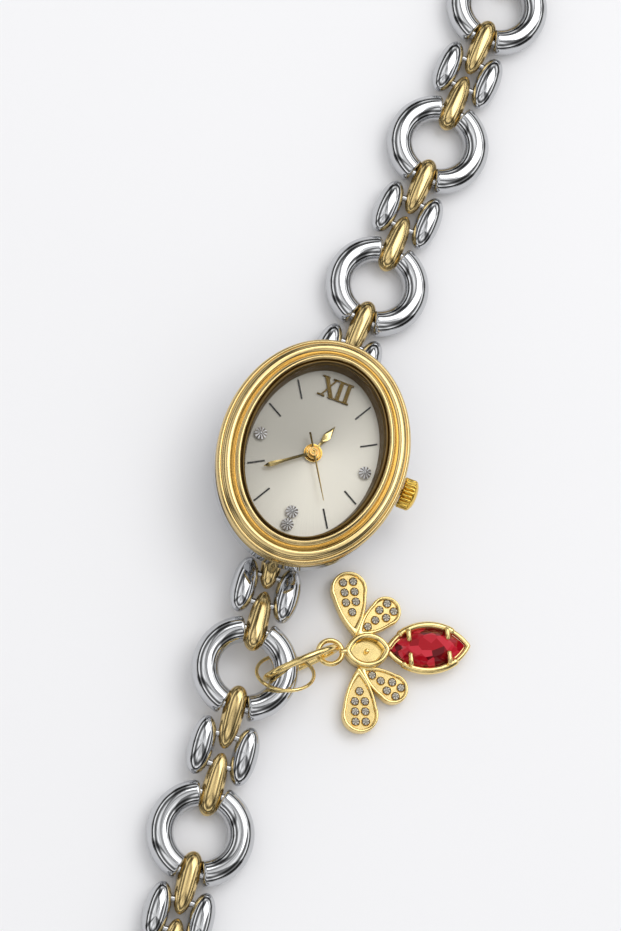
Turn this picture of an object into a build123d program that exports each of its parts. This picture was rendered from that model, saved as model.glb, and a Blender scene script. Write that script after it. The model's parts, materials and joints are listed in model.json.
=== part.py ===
from build123d import *
from math import cos, sin, radians, sqrt, asin
import os

os.makedirs("parts", exist_ok=True)

# Ladies' oval quartz watch on an open link bracelet, with a hanging bee charm.
# Millimetres. The origin is the middle of the case back's flat face, +Z out of the dial,
# +Y towards 12 o'clock, +X towards the crown. The bracelet lies open on both sides.

# General fits
overrun = 1.0
running_gap = 0.05
seat_gap = 0.05
pin_radius = 0.35
pin_gap = 0.07

# Bezel and crystal. Insets run inwards from the bezel's outline, rises up from its foot
bezel_half_length = 12.55
bezel_half_width = 10.0
bezel_base_z = 6.1
bezel_foot_inset = 0.5
bezel_widest_rise = 0.75
bezel_shoulder_inset = 0.2
bezel_shoulder_rise = 1.35
bezel_crest_inset = 0.95
bezel_crest_rise = 1.77
bezel_groove_inset = 1.65
bezel_groove_rise = 1.38
bezel_flank_inset = 1.95
bezel_flank_rise = 1.9
bezel_inner_crest_inset = 2.5
bezel_inner_crest_rise = 2.28
crystal_seat_inset = 2.65
crystal_ledge_inset = 2.95
dial_opening_inset = 3.2
crystal_seat_rise = 1.6
crystal_thickness = 1.05
crystal_edge_round = 0.3
crystal_gasket_width = 0.12

# Case middle, with the dial chamber above and the movement chamber below
case_flange_z = 3.6
case_band_z = 4.7
case_flange_inset = 0.05
case_flange_draft = 0.8
case_wall = 2.55
case_body_end_inset = 3.0
case_body_side_inset = 1.6
case_body_base_z = 0.5
chamber_end_wall = 3.55
chamber_side_wall = 1.8
dial_chamber_z = 4.0
lug_notch_half_width = 1.5
lug_notch_depth = 3.05
lug_notch_top_z = 3.3
lug_bar_setback = 0.7
lug_bar_half_length = 1.95

# Case back and its seal
back_end_lap = 0.2
back_side_lap = 0.6
back_thickness = 0.8
back_edge_share = 0.25
back_lip_height = 0.55
back_lip_wall = 0.45
back_gasket_width = 0.5
back_gasket_height = 0.3

# Movement, its holder and what it carries
movement_end_room = 0.4
movement_side_room = 1.6
movement_base_z = 1.4
movement_top_z = 5.5
holder_wall_gap = 0.1
battery_radius_share = 0.58
battery_height = 1.6
battery_edge_share = 0.12
battery_x_share = -0.23
battery_y_share = -0.34
coil_radius_share = 0.16
coil_length_share = 0.78
coil_core_share = 0.38
coil_x_share = 0.58
coil_y_share = 0.05
pocket_gap = 0.1

# Stem, crown and setting lever
stem_z = 4.9
stem_radius = 0.35
stem_inner_share = 0.6
stem_groove_radius = 0.2
stem_groove_share = 0.74
lever_thickness = 0.35
lever_half_width = 0.7
lever_height = 0.9
lever_pull_room = 1.1
crown_boss_radius = 1.1
crown_boss_setback = 0.05
crown_gap = 0.1
crown_radius = 1.65
crown_length = 1.3
crown_dome_height = 0.5
crown_dome_share = 0.5
crown_flute_count = 22
crown_flute_radius = 0.13
stem_in_crown = 0.9
crown_gasket_width = 0.45
crown_gasket_length = 0.5
crown_gasket_setback = 0.75

# Dial and its markers, placed by shares of the dial's opening
dial_base_z = 5.85
dial_thickness = 0.4
dial_hole_radius = 0.72
marker_height = 0.08
numeral_height = 2.15
numeral_width = 3.1
numeral_y_share = 0.795
numeral_relief = 0.2
numeral_thick_share = 0.12
numeral_thin_share = 0.05
numeral_serif_share = 0.24
numeral_cross_share = 0.34
numeral_gap_share = 0.17
baton_width = 0.17
baton_inner_share = 0.71
baton_outer_share = 0.965
dial_stone_radius = 0.66
dial_stone_height = 0.4
dial_stone_x_share = 0.855
dial_stone_upper_share = 0.728
dial_stone_lower_share = 0.883
stone_girdle_share = 0.45
stone_table_share = 0.6

# Hands, each with its pipe reaching down through the dial. Lengths are shares of the opening's half width
hand_thickness = 0.14
hour_hand_z = 6.5
minute_hand_z = 6.82
second_hand_z = 7.12
hour_length_share = 0.56
minute_length_share = 0.81
second_length_share = 0.787
second_tail_share = 0.31
second_width = 0.17
hour_width = 0.9
hour_root_share = 0.3
hour_widest_share = 0.62
minute_width = 0.55
minute_root_share = 0.45
minute_widest_share = 0.86
hub_radius = 1.0
minute_hub_radius = 0.75
second_hub_radius = 0.5
hour_pipe_radius = 0.62
minute_pipe_radius = 0.43
second_arbor_radius = 0.2
minute_shown = 38.8
second_shown = 25.0

# Bracelet: steel rings, steel bead pairs and gilt links on cross pins
axis_z = 1.4
ring_tube_radius = 1.4
ring_outer_radius = 5.6
ring_notch_half_width = 1.22
ring_bar_radius = 0.45
grain_end_share = 0.72
grain_tip_radius = 0.2        # small flat at both tips of a grain
bead_half_length = 3.25
bead_radius = 1.38
bead_power = 2.3
bead_spread = 2.32
pair_pin_spread = 1.6
link_start = 0.2
link_length = 6.75
link_radius = 1.12
link_power = 3.0
link_lean = 0.16
ring_bar_reach = 4.7
lug_bar_reach = 4.85
lug_slot_half = 0.8
lug_eye_radius = 0.42
lug_link_length = 6.15
units_per_side = 3
north_bend = 3.2
south_bend = 4.8
south_lift = 1.25

# Clasp: hinged cover over a base on one end, wire loop on the other
clasp_half_width = 2.6
clasp_length = 14.0
clasp_plate = 0.8
clasp_cover_plate = 0.7
clasp_gap = 0.5
clasp_ear_wall = 0.8
clasp_ear_radius = 0.75
clasp_ear_gap = 0.3
clasp_knuckle_radius = 0.75
clasp_knuckle_half = 1.0
clasp_cover_setback = 2.6
clasp_catch_length = 0.6
loop_wire_radius = 0.36
loop_half_width = 2.6
loop_length = 5.2
loop_corner_share = 3.0

# Jump rings that hold the charm
jump_wire_radius = 0.36
jump_half_length = 4.05
jump_half_height = 2.25
jump_tube_offset = 1.85
jump_heading = 44.0
jump_crossing = 20.0
spare_wire_radius = 0.25
spare_ring_radius = 2.95
spare_heading = 22.0
spare_crossing = 15.0
spare_lean = -50.0

# Bee charm. Its own X runs from the loop to the tail
charm_heading = 24.0
charm_loop_z = 1.6
charm_loop_radius = 1.26
charm_loop_wire = 0.27
charm_neck_radius = 0.34
charm_loop_from_jump = 3.55
charm_base_z = 0.25
wing_thickness = 1.3
wing_rim = 0.32
wing_recess = 0.3
wing_bulge = 0.28
wing_root_x = 2.9
wing_root_y = 1.6
outer_wing_x = 2.65
outer_wing_y = 6.7
outer_wing_radius = 1.92
inner_wing_x = 6.35
inner_wing_y = 4.15
inner_wing_radius = 1.6
wing_stone_radius = 0.42
wing_stone_pitch = 1.08
wing_stone_first_share = 0.4
thorax_x = 3.95
thorax_half_length = 2.45
thorax_half_width = 1.86
thorax_top_z = 2.0
thorax_recess_half_length = 1.85
thorax_recess_half_width = 1.22
thorax_pin_radius = 0.25
red_stone_x = 10.4
red_stone_half_length = 4.0
red_stone_half_width = 2.05
red_stone_base_z = 1.2
red_stone_height = 1.3
red_girdle_share = 0.4
red_table_share = 0.62
frame_end_rim = 0.65
frame_side_rim = 0.75
frame_rise = 0.55
frame_open_length = 3.2
frame_open_width = 1.55
prong_radius = 0.28
prong_reach = 0.85
prong_x_share = 0.52
prong_rise = 0.12

# Values worked out from the sizes above
crystal_base_z = bezel_base_z + crystal_seat_rise
dial_top_z = dial_base_z + dial_thickness
ring_centre_radius = ring_outer_radius - ring_tube_radius
dial_half_length = bezel_half_length - crystal_ledge_inset
dial_half_width = bezel_half_width - crystal_ledge_inset
opening_half_length = bezel_half_length - dial_opening_inset
opening_half_width = bezel_half_width - dial_opening_inset
case_body_half_length = bezel_half_length - case_body_end_inset
case_body_half_width = bezel_half_width - case_body_side_inset
chamber_half_length = case_body_half_length - chamber_end_wall
chamber_half_width = case_body_half_width - chamber_side_wall
lug_notch_start = case_body_half_length - lug_notch_depth
lug_bar_y = case_body_half_length - lug_bar_setback
back_half_length = chamber_half_length + back_end_lap
back_half_width = chamber_half_width + back_side_lap
movement_half_length = chamber_half_length - movement_end_room
movement_half_width = chamber_half_width - movement_side_room
battery_radius = movement_half_width * battery_radius_share
battery_x = movement_half_width * battery_x_share
battery_y = movement_half_length * battery_y_share
coil_radius = movement_half_width * coil_radius_share
coil_core_radius = coil_radius * coil_core_share
coil_length = movement_half_length * coil_length_share
coil_x = movement_half_width * coil_x_share
coil_y = movement_half_length * coil_y_share
stem_inner_x = movement_half_width * stem_inner_share
stem_groove_x = movement_half_width * stem_groove_share
crown_boss_end_x = bezel_half_width - crown_boss_setback
crown_inner_x = bezel_half_width + crown_gap
crown_gasket_x = crown_boss_end_x - crown_gasket_setback
hour_length = opening_half_width * hour_length_share
minute_length = opening_half_width * minute_length_share
second_length = opening_half_width * second_length_share
second_tail = opening_half_width * second_tail_share


def save(name, shape):
    export_step(shape, "parts/" + name + ".step")


def oval(half_width, half_length, low, high):
    return extrude(Plane.XY.offset(low) * Ellipse(half_width, half_length), high - low)


def tube_oval(half_width, half_length, wall, low, high):
    outer = oval(half_width, half_length, low, high)
    return outer - oval(half_width - wall, half_length - wall, low - overrun, high + overrun)


def block(low_x, high_x, low_y, high_y, low_z, high_z):
    solid = Box(high_x - low_x, high_y - low_y, high_z - low_z, align=(Align.MIN,) * 3)
    return Pos(low_x, low_y, low_z) * solid


def rod_x(radius, low, high, y, z):
    return Pos((low + high) / 2, y, z) * Rot(0, 90, 0) * Cylinder(radius, high - low)


def rod_z(radius, low, high, x=0, y=0):
    return Pos(x, y, (low + high) / 2) * Cylinder(radius, high - low)


def marquise(half_length, half_width):
    """Pointed oval outline along X, of two arcs."""
    top = ThreePointArc((-half_length, 0), (0, half_width), (half_length, 0))
    low = ThreePointArc((half_length, 0), (0, -half_width), (-half_length, 0))
    return make_face([top, low])


# Head of the watch

def make_bezel():
    def at(inset, rise):
        return (bezel_half_length - inset, 0, bezel_base_z + rise)

    foot = at(bezel_foot_inset, 0)
    foot_radius = (bezel_foot_inset ** 2 + bezel_widest_rise ** 2) / (2 * bezel_foot_inset)
    half_rise = bezel_widest_rise / 2
    turn_in = at(foot_radius - sqrt(foot_radius ** 2 - half_rise ** 2), half_rise)
    widest = at(0, bezel_widest_rise)
    shoulder = at(bezel_shoulder_inset, bezel_shoulder_rise)
    crest = at(bezel_crest_inset, bezel_crest_rise)
    groove = at(bezel_groove_inset, bezel_groove_rise)
    flank = at(bezel_flank_inset, bezel_flank_rise)
    inner_crest = at(bezel_inner_crest_inset, bezel_inner_crest_rise)
    mouth = at(crystal_seat_inset, bezel_inner_crest_rise)
    lip_rise = dial_top_z + seat_gap - bezel_base_z
    corners = [
        mouth, at(crystal_seat_inset, crystal_seat_rise), at(crystal_ledge_inset, crystal_seat_rise),
        at(dial_opening_inset, lip_rise), at(crystal_ledge_inset, lip_rise), at(crystal_ledge_inset, 0), foot,
    ]
    edges = [
        ThreePointArc(foot, turn_in, widest),
        ThreePointArc(widest, shoulder, crest),
        Line(crest, groove),
        ThreePointArc(groove, flank, inner_crest),
        Line(inner_crest, mouth),
    ]
    edges += [Line(corners[k], corners[k + 1]) for k in range(len(corners) - 1)]
    profile = make_face(edges)
    path = Edge.make_ellipse(bezel_half_length, bezel_half_width)
    ring = sweep(profile, path=Wire([path]))
    return Rot(0, 0, 90) * ring


def make_case_middle():
    top_width = bezel_half_width - case_flange_inset
    top_length = bezel_half_length - case_flange_inset
    lower_ring = Ellipse(top_width - case_flange_draft, top_length - case_flange_draft)
    flange = loft(
        [Plane.XY.offset(case_flange_z) * lower_ring, Plane.XY.offset(case_band_z) * Ellipse(top_width, top_length)],
        ruled=True,
    )
    flange += oval(top_width, top_length, case_band_z, bezel_base_z)
    body = oval(case_body_half_width, case_body_half_length, case_body_base_z, case_flange_z + overrun)
    boss = rod_x(crown_boss_radius, chamber_half_width, crown_boss_end_x, 0, stem_z)
    case = flange + body + boss
    case -= oval(chamber_half_width, chamber_half_length, -overrun, dial_chamber_z + overrun)
    chamber_width = bezel_half_width - case_flange_inset - case_wall
    chamber_length = bezel_half_length - case_flange_inset - case_wall
    case -= oval(chamber_width, chamber_length, dial_chamber_z, bezel_base_z + overrun)
    recess_width = back_half_width + seat_gap
    recess_length = back_half_length + seat_gap
    case -= oval(recess_width, recess_length, -overrun, back_thickness + seat_gap)
    for side in (1, -1):
        notch_end = bezel_half_length + overrun
        low_y = min(side * lug_notch_start, side * notch_end)
        high_y = max(side * lug_notch_start, side * notch_end)
        case -= block(-lug_notch_half_width, lug_notch_half_width, low_y, high_y, -overrun, lug_notch_top_z)
        case -= rod_x(pin_radius, -lug_bar_half_length, lug_bar_half_length, side * lug_bar_y, axis_z)
    case -= rod_x(stem_radius + running_gap, 0, crown_boss_end_x + overrun, 0, stem_z)
    gasket_end = crown_gasket_x + crown_gasket_length
    case -= rod_x(stem_radius + running_gap + crown_gasket_width, crown_gasket_x, gasket_end, 0, stem_z)
    return case


def make_lug_bars():
    bars = [rod_x(pin_radius, -lug_bar_half_length, lug_bar_half_length, side * lug_bar_y, axis_z) for side in (1, -1)]
    return Compound(children=bars)


def make_case_back():
    plate = oval(back_half_width, back_half_length, 0, back_thickness)
    plate = fillet(plate.edges().filter_by(lambda e: e.center().Z < seat_gap), back_thickness * back_edge_share)
    lip = tube_oval(
        chamber_half_width - seat_gap - back_gasket_width, chamber_half_length - seat_gap - back_gasket_width,
        back_lip_wall, back_thickness - back_lip_height / 2, back_thickness + back_lip_height / 2,
    )
    return plate + lip


def make_back_gasket():
    low = back_thickness
    return tube_oval(
        chamber_half_width - seat_gap, chamber_half_length - seat_gap,
        back_gasket_width - seat_gap, low, low + back_gasket_height,
    )


def make_movement_holder():
    upper_width = bezel_half_width - case_flange_inset - case_wall - holder_wall_gap
    upper_length = bezel_half_length - case_flange_inset - case_wall - holder_wall_gap
    upper = oval(upper_width, upper_length, dial_chamber_z + seat_gap, dial_base_z)
    lower = oval(
        chamber_half_width - holder_wall_gap, chamber_half_length - holder_wall_gap,
        movement_base_z, dial_chamber_z + 2 * seat_gap,
    )
    holder = upper + lower
    holder -= oval(
        movement_half_width + holder_wall_gap, movement_half_length + holder_wall_gap,
        movement_base_z - overrun, dial_base_z + overrun,
    )
    return holder - rod_x(stem_radius + running_gap, 0, bezel_half_width, 0, stem_z)


def make_movement_plate():
    plate = oval(movement_half_width, movement_half_length, movement_base_z, movement_top_z)
    battery_top = movement_base_z + battery_height + seat_gap
    plate -= rod_z(battery_radius + pocket_gap, movement_base_z - overrun, battery_top, battery_x, battery_y)
    coil_half = coil_length / 2 + pocket_gap
    coil_side = coil_radius + pocket_gap
    coil_top = movement_base_z + 2 * coil_radius + pocket_gap
    plate -= block(
        coil_x - coil_side, coil_x + coil_side, coil_y - coil_half, coil_y + coil_half,
        movement_base_z - overrun, coil_top,
    )
    plate -= rod_x(stem_radius + running_gap, stem_inner_x - pocket_gap, movement_half_width + overrun, 0, stem_z)
    pocket_low_x = stem_groove_x - lever_thickness
    side = lever_half_width + pocket_gap
    plate -= block(
        pocket_low_x, pocket_low_x + lever_pull_room + lever_thickness, -side, side,
        stem_z - stem_radius - pocket_gap, movement_top_z + overrun,
    )
    return plate


def make_battery():
    cell = rod_z(battery_radius, movement_base_z, movement_base_z + battery_height, battery_x, battery_y)
    return fillet(cell.edges(), battery_height * battery_edge_share)


def make_coil():
    centre_z = movement_base_z + coil_radius
    winding = Pos(coil_x, coil_y, centre_z) * Rot(90, 0, 0) * Cylinder(coil_radius, coil_length - 4 * coil_core_radius)
    core = Pos(coil_x, coil_y, centre_z) * Rot(90, 0, 0) * Cylinder(coil_core_radius, coil_length)
    return winding + core


def make_dial():
    plate = oval(dial_half_width - seat_gap, dial_half_length - seat_gap, dial_base_z, dial_top_z)
    return plate - rod_z(dial_hole_radius, dial_base_z - overrun, dial_top_z + overrun)


def stroke(start, end, width, low, high):
    run = Vector(*end) - Vector(*start)
    turn = Vector(1, 0, 0).get_signed_angle(run, Vector(0, 0, 1))
    middle = (Vector(*start) + Vector(*end)) / 2
    return Pos(middle.X, middle.Y, low) * Rot(0, 0, turn) * Box(
        run.length, width, high - low, align=(Align.CENTER, Align.CENTER, Align.MIN)
    )


def make_numeral():
    """The Roman numeral for twelve: a cross of a thick and a thin stroke, and two uprights."""
    low = dial_top_z
    high = dial_top_z + numeral_relief
    middle_y = opening_half_length * numeral_y_share
    top = middle_y + numeral_height / 2
    foot = middle_y - numeral_height / 2
    thick = numeral_width * numeral_thick_share
    thin = numeral_width * numeral_thin_share
    serif = numeral_width * numeral_serif_share
    left = -numeral_width / 2 + serif / 2
    cross_right = left + numeral_width * numeral_cross_share
    uprights = (cross_right + numeral_width * numeral_gap_share, numeral_width / 2 - serif / 2)
    numeral = stroke((left, top), (cross_right, foot), thick, low, high)
    numeral += stroke((cross_right, top), (left, foot), thin, low, high)
    for x in uprights:
        numeral += stroke((x, foot), (x, top), thick, low, high)
    for x in (left, cross_right) + uprights:
        for y in (foot + thin / 2, top - thin / 2):
            numeral += stroke((x - serif / 2, y), (x + serif / 2, y), thin, low, high)
    return numeral


def make_batons():
    batons = []
    for hour in (1, 2, 4, 5, 7, 8, 10, 11):
        turn = radians(30 * hour)
        edge = 1 / sqrt((sin(turn) / opening_half_width) ** 2 + (cos(turn) / opening_half_length) ** 2)
        ends = [(share * edge * sin(turn), share * edge * cos(turn)) for share in (baton_inner_share, baton_outer_share)]
        batons.append(stroke(ends[0], ends[1], baton_width, dial_top_z, dial_top_z + marker_height))
    return Compound(children=batons)


def cut_stone(radius, height, base_z, x, y):
    """Brilliant cut stone: a short girdle under a cone cut flat at the table."""
    girdle_top = base_z + height * stone_girdle_share
    crown_height = height * (1 - stone_girdle_share)
    girdle = rod_z(radius, base_z, girdle_top, x, y)
    crown = Pos(x, y, girdle_top + crown_height / 2) * Cone(radius, radius * stone_table_share, crown_height)
    return girdle + crown


def make_dial_stones():
    reach_x = opening_half_width * dial_stone_x_share
    upper_y = opening_half_length * dial_stone_upper_share
    lower_y = opening_half_length * dial_stone_lower_share
    places = [(reach_x, 0), (-reach_x, 0), (0, -upper_y), (0, -lower_y)]
    return Compound(children=[cut_stone(dial_stone_radius, dial_stone_height, dial_top_z, x, y) for x, y in places])


def pointer(length, width, root_width, widest_share, base_z):
    outline = Polyline(
        (-root_width / 2, 0), (-width / 2, length * widest_share), (0, length),
        (width / 2, length * widest_share), (root_width / 2, 0), close=True,
    )
    return extrude(Plane.XY.offset(base_z) * make_face(outline), hand_thickness)


def make_hour_hand():
    turn = -30 * (minute_shown / 60)
    hand = pointer(hour_length, hour_width, hour_width * hour_root_share, hour_widest_share, hour_hand_z)
    hand += rod_z(hub_radius, hour_hand_z, hour_hand_z + hand_thickness)
    hand += rod_z(hour_pipe_radius, movement_top_z + seat_gap, hour_hand_z + hand_thickness)
    hand -= rod_z(minute_pipe_radius + running_gap, movement_top_z - overrun, hour_hand_z + overrun)
    return Rot(0, 0, turn) * hand


def make_minute_hand():
    turn = -6 * minute_shown
    root_width = minute_width * minute_root_share
    hand = pointer(minute_length, minute_width, root_width, minute_widest_share, minute_hand_z)
    hand += rod_z(minute_hub_radius, minute_hand_z, minute_hand_z + hand_thickness)
    hand += rod_z(minute_pipe_radius, movement_top_z + seat_gap, minute_hand_z + hand_thickness)
    hand -= rod_z(second_arbor_radius + running_gap, movement_top_z - overrun, minute_hand_z + overrun)
    return Rot(0, 0, turn) * hand


def make_second_hand():
    turn = -6 * second_shown
    hand = block(
        -second_width / 2, second_width / 2, -second_tail, second_length,
        second_hand_z, second_hand_z + hand_thickness,
    )
    hand += rod_z(second_hub_radius, second_hand_z, second_hand_z + hand_thickness)
    hand += rod_z(second_arbor_radius, movement_top_z + seat_gap, second_hand_z + 2 * hand_thickness)
    return Rot(0, 0, turn) * hand


def make_crystal():
    edge_gap = crystal_gasket_width + seat_gap
    glass = oval(
        bezel_half_width - crystal_seat_inset - edge_gap, bezel_half_length - crystal_seat_inset - edge_gap,
        crystal_base_z, crystal_base_z + crystal_thickness,
    )
    return fillet(glass.edges().group_by(Axis.Z)[-1], crystal_edge_round)


def make_crystal_gasket():
    return tube_oval(
        bezel_half_width - crystal_seat_inset - seat_gap, bezel_half_length - crystal_seat_inset - seat_gap,
        crystal_gasket_width, crystal_base_z, crystal_base_z + crystal_thickness / 2,
    )


def make_crown():
    rim_x = crown_inner_x + crown_length
    dome_radius = (crown_radius ** 2 + crown_dome_height ** 2) / (2 * crown_dome_height)
    half_way = crown_radius * crown_dome_share
    half_way_x = rim_x + crown_dome_height - dome_radius + sqrt(dome_radius ** 2 - half_way ** 2)
    profile = make_face([
        Line((crown_inner_x, 0), (crown_inner_x, crown_radius)),
        Line((crown_inner_x, crown_radius), (rim_x, crown_radius)),
        ThreePointArc((rim_x, crown_radius), (half_way_x, half_way), (rim_x + crown_dome_height, 0)),
        Line((rim_x + crown_dome_height, 0), (crown_inner_x, 0)),
    ])
    crown = Pos(0, 0, stem_z) * revolve(profile, Axis.X)
    for k in range(crown_flute_count):
        turn = radians(360 * k / crown_flute_count)
        groove_y = crown_radius * cos(turn)
        groove_z = stem_z + crown_radius * sin(turn)
        groove_end = rim_x - crown_flute_radius
        crown -= rod_x(crown_flute_radius, crown_inner_x - overrun, groove_end, groove_y, groove_z)
    return crown - rod_x(stem_radius, crown_inner_x - overrun, crown_inner_x + stem_in_crown, 0, stem_z)


def make_stem():
    stem = rod_x(stem_radius, stem_inner_x, crown_inner_x + stem_in_crown, 0, stem_z)
    groove_half = lever_thickness / 2 + running_gap
    groove = rod_x(stem_radius + overrun, stem_groove_x - groove_half, stem_groove_x + groove_half, 0, stem_z)
    groove -= rod_x(stem_groove_radius, stem_inner_x, crown_inner_x, 0, stem_z)
    return stem - groove


def make_crown_gasket():
    outer_radius = stem_radius + running_gap + crown_gasket_width
    ring = rod_x(outer_radius, crown_gasket_x, crown_gasket_x + crown_gasket_length, 0, stem_z)
    return ring - rod_x(stem_radius + running_gap, crown_gasket_x - overrun, crown_boss_end_x, 0, stem_z)


def make_setting_lever():
    low_x = stem_groove_x - lever_thickness / 2
    low_z = stem_z - stem_radius
    plate = block(
        low_x, low_x + lever_thickness, -lever_half_width, lever_half_width, low_z, low_z + lever_height,
    )
    slot_half = stem_groove_radius + running_gap
    plate -= block(
        low_x - overrun, low_x + lever_thickness + overrun, -slot_half, slot_half,
        low_z - overrun, stem_z + slot_half,
    )
    return plate


# Bracelet pieces, each in its own frame: X across, Y outwards along the band, Z up

def grain(length, radius, middle_y, power, lean=0):
    """Blunt rice grain body along Y, of three arcs between small flat tips. With lean it is fuller towards its far end."""
    half = length / 2
    def at(t):
        return (max(grain_tip_radius, radius * sqrt(1 - abs(t) ** power) * (1 + lean * t)), half * t)
    bend = grain_end_share
    turn = (1 + grain_end_share) / 2
    profile = make_face([Line((0, -half), at(-1)), ThreePointArc(at(-1), at(-turn), at(-bend)),
        ThreePointArc(at(-bend), at(0), at(bend)), ThreePointArc(at(bend), at(turn), at(1)), Line(at(1), (0, half)), Line((0, half), (0, -half))])
    return Pos(0, middle_y, 0) * revolve(profile, Axis.Y, 360)


def cross_hole(radius, y, half_slot=0):
    reach = 2 * link_radius
    hole = rod_x(radius, -reach, reach, y, 0)
    if half_slot:
        hole = Pos(0, half_slot, 0) * hole + Pos(0, -half_slot, 0) * hole
        hole += block(-reach, reach, y - half_slot, y + half_slot, -radius, radius)
    return hole


def make_link():
    """Gilt link from a bead pair's pin to a ring's bar."""
    middle_y = link_start + link_length / 2
    link = grain(link_length, link_radius, middle_y, link_power, link_lean)
    link -= cross_hole(pin_radius + pin_gap, pair_pin_spread)
    return link - cross_hole(ring_bar_radius + pin_gap, ring_bar_reach)


def make_lug_link():
    """Gilt link from the first bead pair's pin to the bar between the case lugs."""
    middle_y = link_start + lug_link_length / 2
    link = grain(lug_link_length, link_radius, middle_y, link_power, link_lean)
    link -= cross_hole(pin_radius + pin_gap, pair_pin_spread)
    return link - cross_hole(lug_eye_radius, lug_bar_reach, lug_slot_half)


def make_bead_pair():
    """Two steel beads side by side on two cross pins."""
    pieces = []
    pins = [rod_x(pin_radius, -bead_spread, bead_spread, side * pair_pin_spread, 0) for side in (1, -1)]
    for side in (1, -1):
        bead = Pos(side * bead_spread, 0, 0) * grain(2 * bead_half_length, bead_radius, 0, bead_power)
        for pin in pins:
            bead -= pin
        pieces.append(bead)
    return Compound(children=pieces + pins)


def make_ring():
    """Open steel ring, notched for a link at each end, with a bar across each notch."""
    ring = Torus(ring_centre_radius, ring_tube_radius)
    for side in (1, -1):
        low_y = min(side * overrun, side * (ring_outer_radius + overrun))
        high_y = max(side * overrun, side * (ring_outer_radius + overrun))
        notch = block(
            -ring_notch_half_width, ring_notch_half_width, low_y, high_y,
            -ring_tube_radius - overrun, ring_tube_radius + overrun,
        )
        ring -= notch
        bar_half = ring_notch_half_width + ring_bar_radius
        ring += rod_x(ring_bar_radius, -bar_half, bar_half, side * ring_centre_radius, 0)
    return ring


def make_clasp_base():
    """Base plate with a pin for the last link and one knuckle at its outer end."""
    ear_inner = link_radius + clasp_ear_gap
    ear_outer = ear_inner + clasp_ear_wall
    plate_start = link_radius + 2 * clasp_ear_gap
    plate_low = -axis_z + clasp_gap / 2
    hinge_y = clasp_length
    base = block(-clasp_half_width, clasp_half_width, plate_start, hinge_y, plate_low, plate_low + clasp_plate)
    for side in (1, -1):
        low_x = min(side * ear_inner, side * ear_outer)
        high_x = max(side * ear_inner, side * ear_outer)
        base += rod_x(clasp_ear_radius, low_x, high_x, 0, 0)
        base += block(low_x, high_x, 0, plate_start + clasp_ear_wall, plate_low, plate_low + clasp_plate)
        base += block(low_x, high_x, -clasp_ear_radius / 2, clasp_ear_radius / 2, plate_low, 0)
    base += rod_x(pin_radius, -ear_outer, ear_outer, 0, 0)
    base -= block(
        -clasp_half_width - overrun, clasp_half_width + overrun,
        hinge_y - clasp_knuckle_radius - running_gap * 4, hinge_y + overrun,
        plate_low - overrun, plate_low + clasp_plate + overrun,
    )
    base += block(
        -clasp_knuckle_half, clasp_knuckle_half, hinge_y - 2 * clasp_knuckle_radius, hinge_y,
        plate_low, plate_low + clasp_plate,
    )
    base += rod_x(clasp_knuckle_radius, -clasp_knuckle_half, clasp_knuckle_half, hinge_y, 0)
    return base - rod_x(pin_radius, -clasp_half_width, clasp_half_width, hinge_y, 0)


def make_clasp_cover():
    """Cover plate that closes over the base, with two knuckles and a catch lip."""
    hinge_y = clasp_length
    cover_low = -axis_z + clasp_gap / 2 + clasp_plate + clasp_gap
    start_y = clasp_cover_setback
    end_y = hinge_y - clasp_knuckle_radius - 4 * running_gap
    cover = block(-clasp_half_width, clasp_half_width, start_y, end_y, cover_low, cover_low + clasp_cover_plate)
    catch_low = cover_low - clasp_gap + running_gap
    cover += block(-clasp_half_width / 2, clasp_half_width / 2, start_y, start_y + clasp_catch_length, catch_low, cover_low)
    knuckle_inner = clasp_knuckle_half + 2 * running_gap
    for side in (1, -1):
        low_x = min(side * knuckle_inner, side * clasp_half_width)
        high_x = max(side * knuckle_inner, side * clasp_half_width)
        cover += rod_x(clasp_knuckle_radius, low_x, high_x, hinge_y, 0)
        cover += block(low_x, high_x, end_y - clasp_catch_length, hinge_y, cover_low, clasp_knuckle_radius)
    return cover - rod_x(pin_radius + running_gap, -clasp_half_width - overrun, clasp_half_width + overrun, hinge_y, 0)


def make_clasp_pin():
    return rod_x(pin_radius, -clasp_half_width, clasp_half_width, clasp_length, 0)


def make_clasp_loop():
    """Wire loop whose near side runs through the last link's eye."""
    corners = [
        (-loop_half_width, 0, 0), (loop_half_width, 0, 0),
        (loop_half_width, loop_length, 0), (-loop_half_width, loop_length, 0),
    ]
    path = FilletPolyline(*corners, radius=loop_corner_share * loop_wire_radius, close=True)
    section = Plane(path @ 0, z_dir=path % 0) * Circle(loop_wire_radius)
    return sweep(section, path=path)


# Laying the bracelet out from the lug bars

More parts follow.
